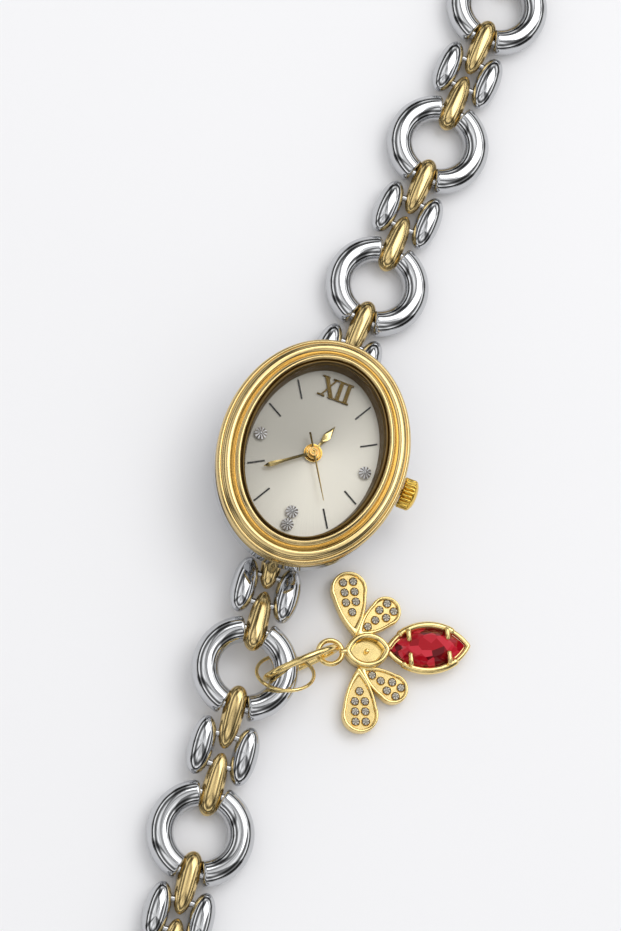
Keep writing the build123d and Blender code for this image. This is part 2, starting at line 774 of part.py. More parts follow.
def lay_band(side, bend, bar_to_pair, lift):
    """Places of one half of the bracelet. The first unit climbs by lift, the second comes down again."""
    outwards = Vector(sin(radians(bend)), side * cos(radians(bend)), 0)
    up = Vector(0, 0, 1)

    def heading(slope):
        return outwards * cos(slope) + up * sin(slope)

    def frame(origin, direction):
        across = direction.cross(up).normalized()
        return Plane(origin, x_dir=across, z_dir=across.cross(direction))

    climb = asin(lift / (bar_to_pair + ring_bar_reach))
    descent = -asin(lift / (2 * ring_bar_reach))
    slopes = [climb, descent] + [0] * (units_per_side - 2)
    places = {}
    pivots = {}
    start = Vector(0, side * lug_bar_y, axis_z)
    reach = bar_to_pair
    for unit in range(units_per_side):
        direction = heading(slopes[unit])
        middle = start + direction * reach
        inner_name = "lug_link" if unit == 0 else "gold_link_" + str(2 * unit)
        outer_name = "gold_link_" + str(2 * unit + 1)
        pair_name = "bead_pair_" + str(unit + 1)
        ring_name = "ring_" + str(unit + 1)
        places[inner_name] = frame(middle, -direction)
        pivots[inner_name] = start
        places[pair_name] = frame(middle, direction)
        pivots[pair_name] = middle - direction * pair_pin_spread
        places[outer_name] = frame(middle, direction)
        pivots[outer_name] = middle + direction * pair_pin_spread
        near_bar = middle + direction * ring_bar_reach
        pivots[ring_name] = near_bar
        centre = near_bar + outwards * ring_centre_radius
        places[ring_name] = frame(centre, outwards)
        start = centre + outwards * ring_centre_radius
        reach = ring_bar_reach
    places["end_link"] = frame(start + outwards * ring_bar_reach, -outwards)
    pivots["end_link"] = start
    end_pin = start + outwards * (ring_bar_reach - pair_pin_spread)
    places["end"] = frame(end_pin, outwards)
    pivots["end"] = end_pin
    return places, pivots


north_places, north_pivots = lay_band(1, north_bend, lug_bar_reach - lug_slot_half, 0)
south_places, south_pivots = lay_band(-1, south_bend, lug_bar_reach + lug_slot_half, south_lift)


# Charm and jump rings

def polar(radius, turn):
    return Vector(radius * cos(radians(turn)), radius * sin(radians(turn)), 0)


charm_ring_centre = south_places["ring_1"].origin
jump_pivot = charm_ring_centre + polar(ring_centre_radius, jump_crossing)
jump_centre = jump_pivot + polar(jump_tube_offset, jump_heading)
jump_bottom_z = jump_centre.Z - jump_half_height - jump_wire_radius
spare_centre = charm_ring_centre + polar(ring_centre_radius, spare_crossing)
charm_origin = jump_centre + polar(charm_loop_from_jump, jump_heading)


def make_jump_ring():
    """Oval ring standing on edge, round the bracelet ring and through the charm's loop."""
    plane = Plane(jump_centre, x_dir=polar(1, jump_heading), z_dir=polar(1, jump_heading - 90))
    path = plane * Edge.make_ellipse(jump_half_length, jump_half_height)
    path = Wire([path])
    section = Plane(path @ 0, z_dir=path % 0) * Circle(jump_wire_radius)
    return sweep(section, path=path)


def make_spare_ring():
    """Round ring leaning beside the oval one."""
    along = polar(1, spare_heading)
    sideways = polar(1, spare_heading - 90)
    normal = sideways * cos(radians(spare_lean)) + Vector(0, 0, 1) * sin(radians(spare_lean))
    plane = Plane(spare_centre, x_dir=along, z_dir=normal)
    return Location(plane) * Torus(spare_ring_radius, spare_wire_radius)


def wing_outline(root, centre, radius, inset=0):
    """Teardrop: a point at the root and a round end."""
    way = Vector(centre[0] - root[0], centre[1] - root[1], 0)
    gap = way.length
    unit = way.normalized()
    side = Vector(-unit.Y, unit.X, 0)
    r = radius - inset
    tip = Vector(root[0], root[1], 0) + unit * (inset * gap / radius)
    middle = Vector(centre[0], centre[1], 0)
    span = (middle - tip).length
    touch = asin(r / span)
    left = middle + side * (r * cos(touch)) - unit * (r * sin(touch))
    right = middle - side * (r * cos(touch)) - unit * (r * sin(touch))
    far = middle + unit * r
    left_bulge = (tip + left) / 2 + side * wing_bulge
    right_bulge = (tip + right) / 2 - side * wing_bulge
    return make_face([
        ThreePointArc(tip, left_bulge, left), ThreePointArc(left, far, right), ThreePointArc(right, right_bulge, tip),
    ])


def wing_places():
    wings = []
    for side in (1, -1):
        root = (wing_root_x, side * wing_root_y)
        wings.append((root, (outer_wing_x, side * outer_wing_y), outer_wing_radius, (2, 2, 2, 1)))
        wings.append((root, (inner_wing_x, side * inner_wing_y), inner_wing_radius, (2, 2, 1, 1)))
    return wings


def wing_stones(root, centre, radius, rows):
    """Stone places in rows from the round end towards the root."""
    way = Vector(centre[0] - root[0], centre[1] - root[1], 0)
    unit = way.normalized()
    side = Vector(-unit.Y, unit.X, 0)
    first = Vector(centre[0], centre[1], 0) + unit * (radius * wing_stone_first_share)
    spots = []
    for row, count in enumerate(rows):
        for k in range(count):
            across = (k - (count - 1) / 2) * wing_stone_pitch
            spot = first - unit * (row * wing_stone_pitch) + side * across
            spots.append((spot.X, spot.Y))
    return spots


def make_charm_body():
    wing_top = charm_base_z + wing_thickness
    floor_z = wing_top - wing_recess
    body = Pos(0, 0, charm_loop_z) * Torus(charm_loop_radius, charm_loop_wire)
    neck_low = charm_loop_radius - charm_loop_wire / 2
    neck_high = thorax_x - thorax_recess_half_length - charm_loop_wire
    body += rod_x(charm_neck_radius, neck_low, neck_high, 0, charm_loop_z)
    for root, centre, radius, rows in wing_places():
        wing = extrude(Plane.XY.offset(charm_base_z) * wing_outline(root, centre, radius), wing_thickness)
        wing -= extrude(Plane.XY.offset(floor_z) * wing_outline(root, centre, radius, wing_rim), overrun)
        for x, y in wing_stones(root, centre, radius, rows):
            wing -= rod_z(wing_stone_radius, floor_z - wing_recess, wing_top + overrun, x, y)
        body += wing
    body += Pos(thorax_x, 0, 0) * make_thorax()
    body += Pos(red_stone_x, 0, 0) * make_stone_frame()
    return body - Pos(red_stone_x, 0, 0) * make_marquise_stone(0)


def make_thorax():
    """Open almond with a small pin on its floor."""
    height = thorax_top_z - charm_base_z
    floor_z = charm_base_z + wing_thickness / 2
    thorax = extrude(Plane.XY.offset(charm_base_z) * marquise(thorax_half_length, thorax_half_width), height)
    recess = marquise(thorax_recess_half_length, thorax_recess_half_width)
    thorax -= extrude(Plane.XY.offset(floor_z) * recess, thorax_top_z)
    return thorax + rod_z(thorax_pin_radius, charm_base_z, charm_base_z + wing_thickness)


def make_stone_frame():
    """Pointed oval frame that is open behind the stone, with four prongs that fold over the stone."""
    outline = marquise(red_stone_half_length + frame_end_rim, red_stone_half_width + frame_side_rim)
    frame = extrude(Plane.XY.offset(charm_base_z) * outline, red_stone_base_z + frame_rise - charm_base_z)
    window = marquise(frame_open_length, frame_open_width)
    frame -= extrude(Plane.XY.offset(charm_base_z - overrun) * window, red_stone_base_z + overrun)
    arc_radius = (red_stone_half_length ** 2 + red_stone_half_width ** 2) / (2 * red_stone_half_width)
    prong_x = red_stone_half_length * prong_x_share
    edge_y = sqrt(arc_radius ** 2 - prong_x ** 2) - arc_radius + red_stone_half_width
    post_y = edge_y + prong_radius
    finger_z = red_stone_base_z + red_stone_height - prong_radius + prong_rise
    for end in (1, -1):
        for side in (1, -1):
            frame += rod_z(prong_radius, charm_base_z, finger_z, end * prong_x, side * post_y)
            frame += Pos(end * prong_x, side * post_y, finger_z) * Sphere(prong_radius)
            finger = Rot(90, 0, 0) * Cylinder(prong_radius, prong_reach)
            frame += Pos(end * prong_x, side * (post_y - prong_reach / 2), finger_z) * finger
    return frame


def make_marquise_stone(clearance):
    """Pointed oval stone: a straight girdle under a crown that tapers to the table."""
    half_length = red_stone_half_length - clearance
    half_width = red_stone_half_width - clearance
    crown_base = red_stone_base_z + red_stone_height * red_girdle_share
    table_z = red_stone_base_z + red_stone_height
    girdle = extrude(Plane.XY.offset(red_stone_base_z) * marquise(half_length, half_width), crown_base - red_stone_base_z)
    table = marquise(half_length * red_table_share, half_width * red_table_share)
    crown = loft([Plane.XY.offset(crown_base) * marquise(half_length, half_width), Plane.XY.offset(table_z) * table], ruled=True)
    return girdle + crown


def make_wing_stones():
    stones = []
    wing_top = charm_base_z + wing_thickness
    base = wing_top - 2 * wing_recess
    for root, centre, radius, rows in wing_places():
        for x, y in wing_stones(root, centre, radius, rows):
            stones.append(cut_stone(wing_stone_radius - seat_gap, 2 * wing_recess, base, x, y))
    return Compound(children=stones)


# Write every piece where it lies

save("bezel", make_bezel())
save("case_middle", make_case_middle())
save("lug_bars", make_lug_bars())
save("case_back", make_case_back())
save("case_back_gasket", make_back_gasket())
save("movement_holder", make_movement_holder())
save("movement_plate", make_movement_plate())
save("battery", make_battery())
save("coil", make_coil())
save("dial", make_dial())
save("numeral_twelve", make_numeral())
save("hour_batons", make_batons())
save("dial_stones", make_dial_stones())
save("hour_hand", make_hour_hand())
save("minute_hand", make_minute_hand())
save("second_hand", make_second_hand())
save("crystal", make_crystal())
save("crystal_gasket", make_crystal_gasket())
save("crown", make_crown())
save("stem", make_stem())
save("crown_gasket", make_crown_gasket())
save("setting_lever", make_setting_lever())

lug_link = make_lug_link()
gold_link = make_link()
bead_pair = make_bead_pair()
steel_ring = make_ring()
for side_name, places in (("north", north_places), ("south", south_places)):
    for name, plane in places.items():
        if name == "lug_link":
            shape = lug_link
        elif name.startswith("gold_link") or name == "end_link":
            shape = gold_link
        elif name.startswith("bead_pair"):
            shape = bead_pair
        elif name.startswith("ring"):
            shape = steel_ring
        else:
            continue
        save(side_name + "_" + name, Location(plane) * shape)

clasp_place = Location(north_places["end"])
save("clasp_base", clasp_place * make_clasp_base())
save("clasp_cover", clasp_place * make_clasp_cover())
save("clasp_pin", clasp_place * make_clasp_pin())
save("clasp_loop", Location(south_places["end"]) * make_clasp_loop())

save("jump_ring", make_jump_ring())
save("spare_ring", make_spare_ring())
charm_place = Pos(charm_origin.X, charm_origin.Y, 0) * Rot(0, 0, charm_heading)
save("charm_body", charm_place * make_charm_body())
save("charm_red_stone", charm_place * Pos(red_stone_x, 0, 0) * make_marquise_stone(seat_gap))
save("charm_wing_stones", charm_place * make_wing_stones())
print("jump ring bottom z", round(jump_bottom_z, 3))
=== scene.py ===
"""Dresses an oval bracelet watch: gilt bezel, steel and gilt link band, and a hanging bee charm."""

import json
import math

import bmesh
import bpy
from mathutils import Matrix, Vector

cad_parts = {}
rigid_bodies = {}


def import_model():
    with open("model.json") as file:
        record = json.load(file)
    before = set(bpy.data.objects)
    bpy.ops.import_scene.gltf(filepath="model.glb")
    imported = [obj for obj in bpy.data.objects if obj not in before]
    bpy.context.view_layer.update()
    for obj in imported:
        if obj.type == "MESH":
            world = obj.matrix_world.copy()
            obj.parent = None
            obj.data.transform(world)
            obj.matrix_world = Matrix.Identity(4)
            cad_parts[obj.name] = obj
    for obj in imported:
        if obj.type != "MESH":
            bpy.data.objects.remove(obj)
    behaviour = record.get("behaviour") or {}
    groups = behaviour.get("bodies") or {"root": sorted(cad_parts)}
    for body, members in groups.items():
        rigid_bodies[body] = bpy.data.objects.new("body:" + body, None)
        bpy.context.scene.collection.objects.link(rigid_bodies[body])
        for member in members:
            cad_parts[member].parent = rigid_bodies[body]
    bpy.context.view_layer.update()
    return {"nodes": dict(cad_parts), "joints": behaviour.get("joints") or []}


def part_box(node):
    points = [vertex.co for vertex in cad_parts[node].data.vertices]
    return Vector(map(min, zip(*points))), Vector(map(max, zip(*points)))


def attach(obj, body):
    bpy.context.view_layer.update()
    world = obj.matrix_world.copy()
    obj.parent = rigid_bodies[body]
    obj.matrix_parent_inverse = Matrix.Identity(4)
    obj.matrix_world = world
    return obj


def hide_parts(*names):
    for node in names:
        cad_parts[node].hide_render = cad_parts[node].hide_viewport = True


bl_info = {
    "name": "Oval bracelet watch",
    "version": (1, 0, 0),
    "blender": (4, 5, 0),
    "location": "3D View > Sidebar > Watch",
    "description": "Builds the visible pieces of an oval bracelet watch round its packed frame",
    "category": "Object",
}

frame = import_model()
JOINT = {joint["child"]: joint for joint in frame["joints"]}
MM = 0.001
RIGHT = Vector((1, 0, 0))
AHEAD = Vector((0, 1, 0))
UP = Vector((0, 0, 1))
SIDES = ("north", "south")
# The photographed time, in minutes past twelve, and the second hand's seconds
MINUTES_SHOWN = 38.8
SECONDS_SHOWN = 25


# Settings

def length(name, description, millimetres, low=0.0):
    return bpy.props.FloatProperty(
        name=name, description=description, default=millimetres * MM, min=low, unit="LENGTH", precision=5,
    )


def hex_colour(code):
    """Turns an sRGB hex value into linear red, green and blue."""
    parts = [int(code[k:k + 2], 16) / 255 for k in (1, 3, 5)]
    return [c / 12.92 if c <= 0.04045 else ((c + 0.055) / 1.055) ** 2.4 for c in parts]


def colour(name, description, code):
    return bpy.props.FloatVectorProperty(
        name=name, description=description, default=hex_colour(code), subtype="COLOR", min=0, max=1,
    )


class WatchHeadSettings(bpy.types.PropertyGroup):
    """Sizes of the head of the watch."""
    half_length: length("Bezel half length", "Half the bezel's length, 12 to 6 o'clock", 12.55)
    half_width: length("Bezel half width", "Half the bezel's width, 9 to 3 o'clock", 10.0)
    crystal_dome: length("Crystal dome", "Rise of the crystal's middle over its edge", 0.1)
    crown_flutes: bpy.props.IntProperty(name="Crown flutes", description="Flutes round the crown", default=22, min=8)
    flute_depth: length("Flute depth", "Depth of the crown's flutes", 0.2)
    hour_width: length("Hour hand width", "Widest part of the hour hand", 0.8)
    minute_width: length("Minute hand width", "Widest part of the minute hand", 0.55)
    second_width: length("Second hand width", "Width of the second hand", 0.17)
    hand_thickness: length("Hand thickness", "Thickness of a hand at its ridge", 0.14)
    stone_radius: length("Dial stone radius", "Radius of the clear stones on the dial", 0.66)


class WatchBandSettings(bpy.types.PropertyGroup):
    """Sizes of the bracelet's pieces."""
    ring_radius: length("Ring radius", "Radius of a bracelet ring's centre line", 4.2)
    tube_radius: length("Ring tube radius", "Radius of a bracelet ring's tube", 1.4)
    notch_half_width: length("Notch half width", "Half the width of the notch in a ring", 1.22)
    notch_round: length("Notch rounding", "Length over which a ring's tube ends are rounded", 0.3)
    bar_radius: length("Bar radius", "Radius of the bar across a ring's notch", 0.45)
    bead_half_length: length("Bead half length", "Half the length of a steel bead", 3.12)
    bead_radius: length("Bead radius", "Radius of a steel bead", 1.34)
    bead_spread: length("Bead spread", "Distance from a bead's axis to the band's middle", 2.32)
    pin_radius: length("Pin radius", "Radius of the cross pins", 0.35)
    link_radius: length("Link radius", "Radius of a gilt link", 1.12)
    link_half_length: length("Link half length", "Half the length of a gilt link", 3.375)
    lug_link_half_length: length("Lug link half length", "Half the length of the link in a lug", 3.075)
    bead_power: bpy.props.FloatProperty(
        name="Bead bluntness", description="2 is an ellipse, more is blunter", default=2.2,
    )
    link_power: bpy.props.FloatProperty(
        name="Link bluntness", description="2 is an ellipse, more is blunter", default=3.0,
    )
    link_lean: bpy.props.FloatProperty(
        name="Link lean", description="How much fuller a link is at its ring end", default=0.16,
    )


class WatchCharmSettings(bpy.types.PropertyGroup):
    """Sizes of the charm and the jump rings."""
    heading: bpy.props.FloatProperty(
        name="Heading", description="Turn of the charm from the crown's direction", default=math.radians(24),
        subtype="ANGLE",
    )
    jump_half_length: length("Large ring half length", "Half length of the large jump ring's centre line", 4.05)
    jump_half_height: length("Large ring half height", "Half height of the large jump ring's centre line", 2.25)
    jump_wire: length("Large ring wire", "Radius of the large jump ring's wire", 0.36)
    spare_radius: length("Small ring radius", "Radius of the small jump ring's centre line", 2.98)
    spare_wire: length("Small ring wire", "Radius of the small jump ring's wire", 0.19)
    base: length("Charm base", "Height of the charm's back over the table", 0.25)
    wing_thickness: length("Wing thickness", "Thickness of the wings", 1.3)
    wing_rim: length("Wing rim", "Width of the raised rim round a wing", 0.34)
    wing_recess: length("Wing recess", "Depth of the floor inside the rim", 0.3)
    stone_radius: length("Wing stone radius", "Radius of the small stones", 0.4)
    loop_radius: length("Loop radius", "Radius of the loop's centre line", 1.26)
    loop_wire: length("Loop wire", "Radius of the loop's wire", 0.27)
    red_half_length: length("Red stone half length", "Half the length of the red stone", 3.95)
    red_centre: length("Red stone place", "From the loop to the middle of the red stone", 10.4)
    red_half_width: length("Red stone half width", "Half the width of the red stone", 2.0)


class WatchFinishSettings(bpy.types.PropertyGroup):
    """Colours of the finishes."""
    steel: colour("Steel", "Polished stainless steel", "#c6c7c9")
    champagne: colour("Champagne gold", "Pale gold plate on bezel and links", "#dbc188")
    yellow: colour("Yellow gold", "Warmer gold plate on the crown", "#eac45e")
    pale: colour("Pale gold", "Light gold plate on charm and jump rings", "#f8dd98")
    antique: colour("Dark gold", "Printed gold of the dial number", "#5c4b26")
    # Painted reflection: every second facet of a clear stone takes this darker colour
    facet: colour("Dark facet", "Facets of a clear stone that mirror the dark", "#98928a")
    smoky: colour("Smoky stone", "Small stones in the wings", "#e9e2d6")
    # Painted shade: a dark gilt colour for the bezel's inner wall and the stone seats
    bronze: colour("Dark bronze", "Shaded inner wall of the bezel", "#6a542c")
    dial: colour("Dial", "Silver cream lacquer", "#d9d5c9")
    lacquer: colour("Black lacquer", "Printed hour batons", "#15130f")
    ruby: colour("Red stone", "Deep red stone", "#a80a1c")
    stone: colour("Clear stone", "Clear stones on foil", "#f4f4f6")
    rubber: colour("Seal rubber", "Black seals", "#1c1c1c")
    floor: colour("Floor", "Pale cloth under the watch", "#f2f2f4")


class WatchStageSettings(bpy.types.PropertyGroup):
    """Camera and light."""
    camera_azimuth: bpy.props.FloatProperty(
        name="Camera azimuth", description="Direction of the camera round the watch",
        default=math.radians(-101), subtype="ANGLE",
    )
    camera_tilt: bpy.props.FloatProperty(
        name="Camera tilt", description="Lean of the camera from straight above", default=math.radians(18.3),
        subtype="ANGLE",
    )
    camera_roll: bpy.props.FloatProperty(
        name="Camera roll", description="Turn of the picture", default=math.radians(19.8), subtype="ANGLE",
    )
    camera_distance: length("Camera distance", "From the watch to the camera", 445)
    key_power: bpy.props.FloatProperty(name="Key light", description="Power of the soft light above", default=1.1)


def settings(group):
    """The settings of one group of this watch: head, band, charm, finish or stage."""
    return getattr(bpy.context.scene, "watch_" + group)


# Meshes

def put_in_scene(name, data):
    """An unturned object at the origin for some data."""
    thing = bpy.data.objects.new(name, data)
    bpy.context.scene.collection.objects.link(thing)
    return thing


def shade(mesh, smooth):
    """Smooths the faces up to an angle in degrees. An angle of 0 leaves every face flat."""
    for face in mesh.polygons:
        face.use_smooth = smooth > 0
    if smooth:
        mesh.set_sharp_from_angle(angle=math.radians(smooth))


def paint(mesh, finish):
    """Gives a mesh one finish in place of its own."""
    mesh.materials.clear()
    mesh.materials.append(bpy.data.materials[finish])


def finish_piece(name, mesh, finish, smooth):
    """A mesh object at the origin from a mesh with its doubles merged and its faces turned outwards."""
    work = bmesh.new()
    work.from_mesh(mesh)
    bmesh.ops.remove_doubles(work, verts=work.verts, dist=1e-8)
    bmesh.ops.recalc_face_normals(work, faces=work.faces)
    work.to_mesh(mesh)
    work.free()
    paint(mesh, finish)
    shade(mesh, smooth)
    return put_in_scene(name, mesh)


def add_piece(name, skin, finish, smooth):
    """A finished piece from the vertices and faces of a skin."""
    vertices, faces = skin
    mesh = bpy.data.meshes.new(name)
    mesh.from_pydata([tuple(v) for v in vertices], [], faces)
    return finish_piece(name, mesh, finish, smooth)


def join_rows(rows, closed=False):
    """Vertices and faces of a skin over rows of points, capped at both ends unless the rows close in a ring."""
    count = len(rows[0])
    vertices = [p for row in rows for p in row]
    faces = []
    for r in range(len(rows) if closed else len(rows) - 1):
        here = r * count
        there = (r + 1) % len(rows) * count
        for k in range(count):
            after = (k + 1) % count
            faces.append((here + k, here + after, there + after, there + k))
    if not closed:
        faces.append(tuple(range(count)))
        faces.append(tuple((len(rows) - 1) * count + k for k in range(count)))
    return vertices, faces


def merge_skins(skins):
    """One list of vertices and one of faces from several skins."""
    vertices, faces = [], []
    for skin_vertices, skin_faces in skins:
        start = len(vertices)
        vertices.extend(skin_vertices)
        faces.extend(tuple(start + k for k in face) for face in skin_faces)
    return vertices, faces


def circle(centre, first, second, radius, count, other_radius=None):
    """Points of a circle in the plane of two unit vectors, or of an oval with its own radius along the second."""
    rise = radius if other_radius is None else other_radius
    turns = [2 * math.pi * k / count for k in range(count)]
    return [centre + first * (radius * math.cos(t)) + second * (rise * math.sin(t)) for t in turns]


def level_side(axis):
    """A direction to start from that isn't along the axis."""
    return UP if abs(axis.z) < 0.9 else RIGHT


def tube(points, radius, count=20, closed=False, ends_round=False):
    """A skin round a path. Rounded ends shrink over one radius."""
    points = [Vector(p) for p in points]
    rows = []
    last_side = None
    for k, point in enumerate(points):
        before = points[k - 1] if k or closed else points[k]
        after = points[(k + 1) % len(points)] if closed or k + 1 < len(points) else points[k]
        along = (after - before).normalized()
        side = last_side or level_side(along)
        side = (side - along * side.dot(along)).normalized()
        last_side = side
        rows.append(circle(point, side, along.cross(side), radius, count))
    if ends_round and not closed:
        rows = round_ends(rows, points, radius)
    return join_rows(rows, closed)


def round_ends(rows, points, radius):
    """Adds shrinking rows past both ends of a tube, at these shares of its radius."""
    steps = (0.35, 0.7, 0.92)
    result = []
    for share in steps:
        shift = (points[0] - points[1]).normalized() * radius * math.sqrt(1 - share ** 2)
        result.append([points[0] + (p - points[0]) * share + shift for p in rows[0]])
    result.extend(rows)
    for share in reversed(steps):
        shift = (points[-1] - points[-2]).normalized() * radius * math.sqrt(1 - share ** 2)
        result.append([points[-1] + (p - points[-1]) * share + shift for p in rows[-1]])
    return result


def oval_ring(profile, foot, head, count=220):
    """A skin of a profile carried round the bezel's oval: inset and rise over the foot, in millimetres."""
    half_width, half_length = head.half_width, head.half_length
    rows = []
    for k in range(count):
        turn = 2 * math.pi * k / count
        point = Vector((half_width * math.cos(turn), half_length * math.sin(turn), 0))
        outward = Vector((half_length * math.cos(turn), half_width * math.sin(turn), 0)).normalized()
        rows.append([point - outward * (inset * MM) + UP * (foot + rise * MM) for inset, rise in profile])
    return join_rows(rows, closed=True)


def lathe(profile, origin, axis, count=64):
    """A skin of (radius, height) pairs turned round an axis."""
    axis = Vector(axis).normalized()
    side = level_side(axis).cross(axis).normalized()
    rows = [circle(Vector(origin) + axis * h, side, axis.cross(side), max(r, 1e-7), count) for r, h in profile]
    return join_rows(rows)


def dress(piece, body, slot, *nodes):
    """Puts a finished piece on its body in place of the nodes it stands for."""
    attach(piece, body)
    if nodes:
        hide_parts(*nodes)
    return piece


def middle(node):
    """Middle of a node's box."""
    low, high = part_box(node)
    return (low + high) / 2


# Finishes

def add_node(tree, kind, links=None, **values):
    """Adds a node, sets its values and joins or fills its sockets."""
    node = tree.nodes.new(kind)
    for key, value in values.items():
        setattr(node, key, value)
    for socket, value in (links or {}).items():
        target = node.inputs[socket]
        if isinstance(value, bpy.types.NodeSocket):
            tree.links.new(value, target)
        else:
            target.default_value = value
    return node


def new_finish(name, base, metallic, roughness, **sockets):
    """Node tree and shader of a new material. Other sockets are named with an underscore for a blank."""
    material = bpy.data.materials.new(name)
    material.use_nodes = True
    shader = material.node_tree.nodes["Principled BSDF"]
    shader.inputs["Base Color"].default_value = (*base, 1)
    shader.inputs["Metallic"].default_value = metallic
    shader.inputs["Roughness"].default_value = roughness
    for socket, value in sockets.items():
        shader.inputs[socket.replace("_", " ")].default_value = value
    return material.node_tree, shader


def set_stops(ramp, stops):
    """Gives a colour ramp its (position, colour) stops, from the first to the last."""
    (start, start_tone), *between, (end, end_tone) = stops
    ramp.elements[0].position, ramp.elements[0].color = start, (*start_tone, 1)
    ramp.elements[1].position, ramp.elements[1].color = end, (*end_tone, 1)
    for position, tone in between:
        ramp.elements.new(position).color = (*tone, 1)


def scaled(base, factor):
    """A colour made lighter or darker."""
    return [min(1, part * factor) for part in base]


def wear(tree, shader, base, roughness, grain, tint=0.05, smear=0.05, bump=0.02):
    """Handling marks: a soft smear in colour and roughness, and a faint surface wave of one grain size."""
    place = add_node(tree, "ShaderNodeTexCoord").outputs["Object"]
    smears = add_node(tree, "ShaderNodeTexNoise", {"Vector": place, "Scale": 1 / grain, "Detail": 4.0})
    tone = add_node(tree, "ShaderNodeValToRGB", {"Fac": smears.outputs["Fac"]})
    set_stops(tone.color_ramp, ((0.3, scaled(base, 1 - tint)), (0.7, scaled(base, 1 + tint))))
    rough = add_node(tree, "ShaderNodeMapRange", {
        "Value": smears.outputs["Fac"], "From Min": 0.3, "From Max": 0.7,
        "To Min": roughness * (1 - smear), "To Max": roughness * (1 + 4 * smear),
    })
    fine = add_node(tree, "ShaderNodeTexNoise", {"Vector": place, "Scale": 3 / grain, "Detail": 2.0})
    relief = add_node(tree, "ShaderNodeBump", {
        "Height": fine.outputs["Fac"], "Strength": bump, "Distance": grain / 10,
    })
    tree.links.new(tone.outputs["Color"], shader.inputs["Base Color"])
    tree.links.new(rough.outputs["Result"], shader.inputs["Roughness"])
    tree.links.new(relief.outputs["Normal"], shader.inputs["Normal"])


def make_finishes():
    tones = settings("finish")
    # Name, colour, metallic, roughness, grain of the handling marks in millimetres, and what else they have
    worn = (
        # Polished stainless steel is mirror bright, with soft smears from handling
        ("polished_stainless_steel", tones.steel, 1.0, 0.07, 2.2, {}),
        # Satin stainless steel on hidden plates scatters its highlights
        ("satin_stainless_steel", tones.steel, 1.0, 0.32, 0.6, {"bump": 0.08}),
        # Pale gold plate, polished by hand, keeps a slight ripple that breaks long reflections
        ("champagne_gold_plate", tones.champagne, 1.0, 0.16, 1.8, {"bump": 0.002}),
        # Warmer gold plate over the turned crown
        ("yellow_gold_plate", tones.yellow, 1.0, 0.1, 1.1, {"bump": 0.005}),
        # Charm, jump rings and hands are plated lighter, and the cast charm keeps the soft skin of its mould
        ("pale_gold_plate", tones.pale, 1.0, 0.14, 0.9, {"bump": 0.003}),
        # The dial number is dull dark gold
        ("dark_gold_print", tones.antique, 0.9, 0.3, 0.4, {}),
        # Painted shade: the bezel's inner wall and the seats under the wing stones get a dark copy of the gilt for the
        # shade that falls there
        ("bronze_and_painted_shade", tones.bronze, 0.8, 0.35, 0.8, {}),
        # Pad printed lacquer stands slightly proud with a soft gloss
        ("black_dial_lacquer", tones.lacquer, 0.0, 0.25, 0.3, {}),
        # Nitrile rubber seals are matt black
        ("nitrile_seal_rubber", tones.rubber, 0.0, 0.6, 0.5, {}),
        # Foil backed clear stones flash from facet to facet
        ("foiled_clear_stone", tones.stone, 0.1, 0.12, 0.25, {"tint": 0.1}),
        # Painted reflection: every second facet is darker for the dark round the stone that it mirrors
        ("painted_reflection_facet", tones.facet, 0.2, 0.15, 0.25, {"tint": 0.3}),
        # Small stones look smoky over their seats of painted shade
        ("smoky_clear_stone", tones.smoky, 0.1, 0.15, 0.25, {"tint": 0.3}),
    )
    for name, base, metallic, roughness, grain, marks in worn:
        tree, shader = new_finish(name, base, metallic, roughness)
        wear(tree, shader, base, roughness, grain * MM, **marks)
    # Mineral crystal over the dial shows little but its edge
    new_finish("mineral_crystal", (0.02, 0.02, 0.02), 0.0, 0.02, Alpha=0.05)
    make_dial_finish(tones.dial)
    make_ruby(tones.ruby)


def make_ruby(base):
    """Red glass with painted reflections: cells from near black to pink stand in for the back facets seen through it.
    """
    tree, shader = new_finish("ruby_glass", base, 0.0, 0.05, IOR=1.35)
    place = add_node(tree, "ShaderNodeTexCoord").outputs["Object"]
    cell = 1.1 * MM
    cells = add_node(tree, "ShaderNodeTexVoronoi", {"Vector": place, "Scale": 1 / cell, "Randomness": 0.85})
    parts = add_node(tree, "ShaderNodeSeparateXYZ", {"Vector": cells.outputs["Color"]})
    tone = add_node(tree, "ShaderNodeValToRGB", {"Fac": parts.outputs["X"]})
    pink = (min(1, base[0] * 1.5), base[1] + 0.025, base[2] + 0.035)
    set_stops(tone.color_ramp, ((0.1, scaled(base, 0.3)), (0.55, base), (0.95, pink)))
    tree.links.new(tone.outputs["Color"], shader.inputs["Base Color"])


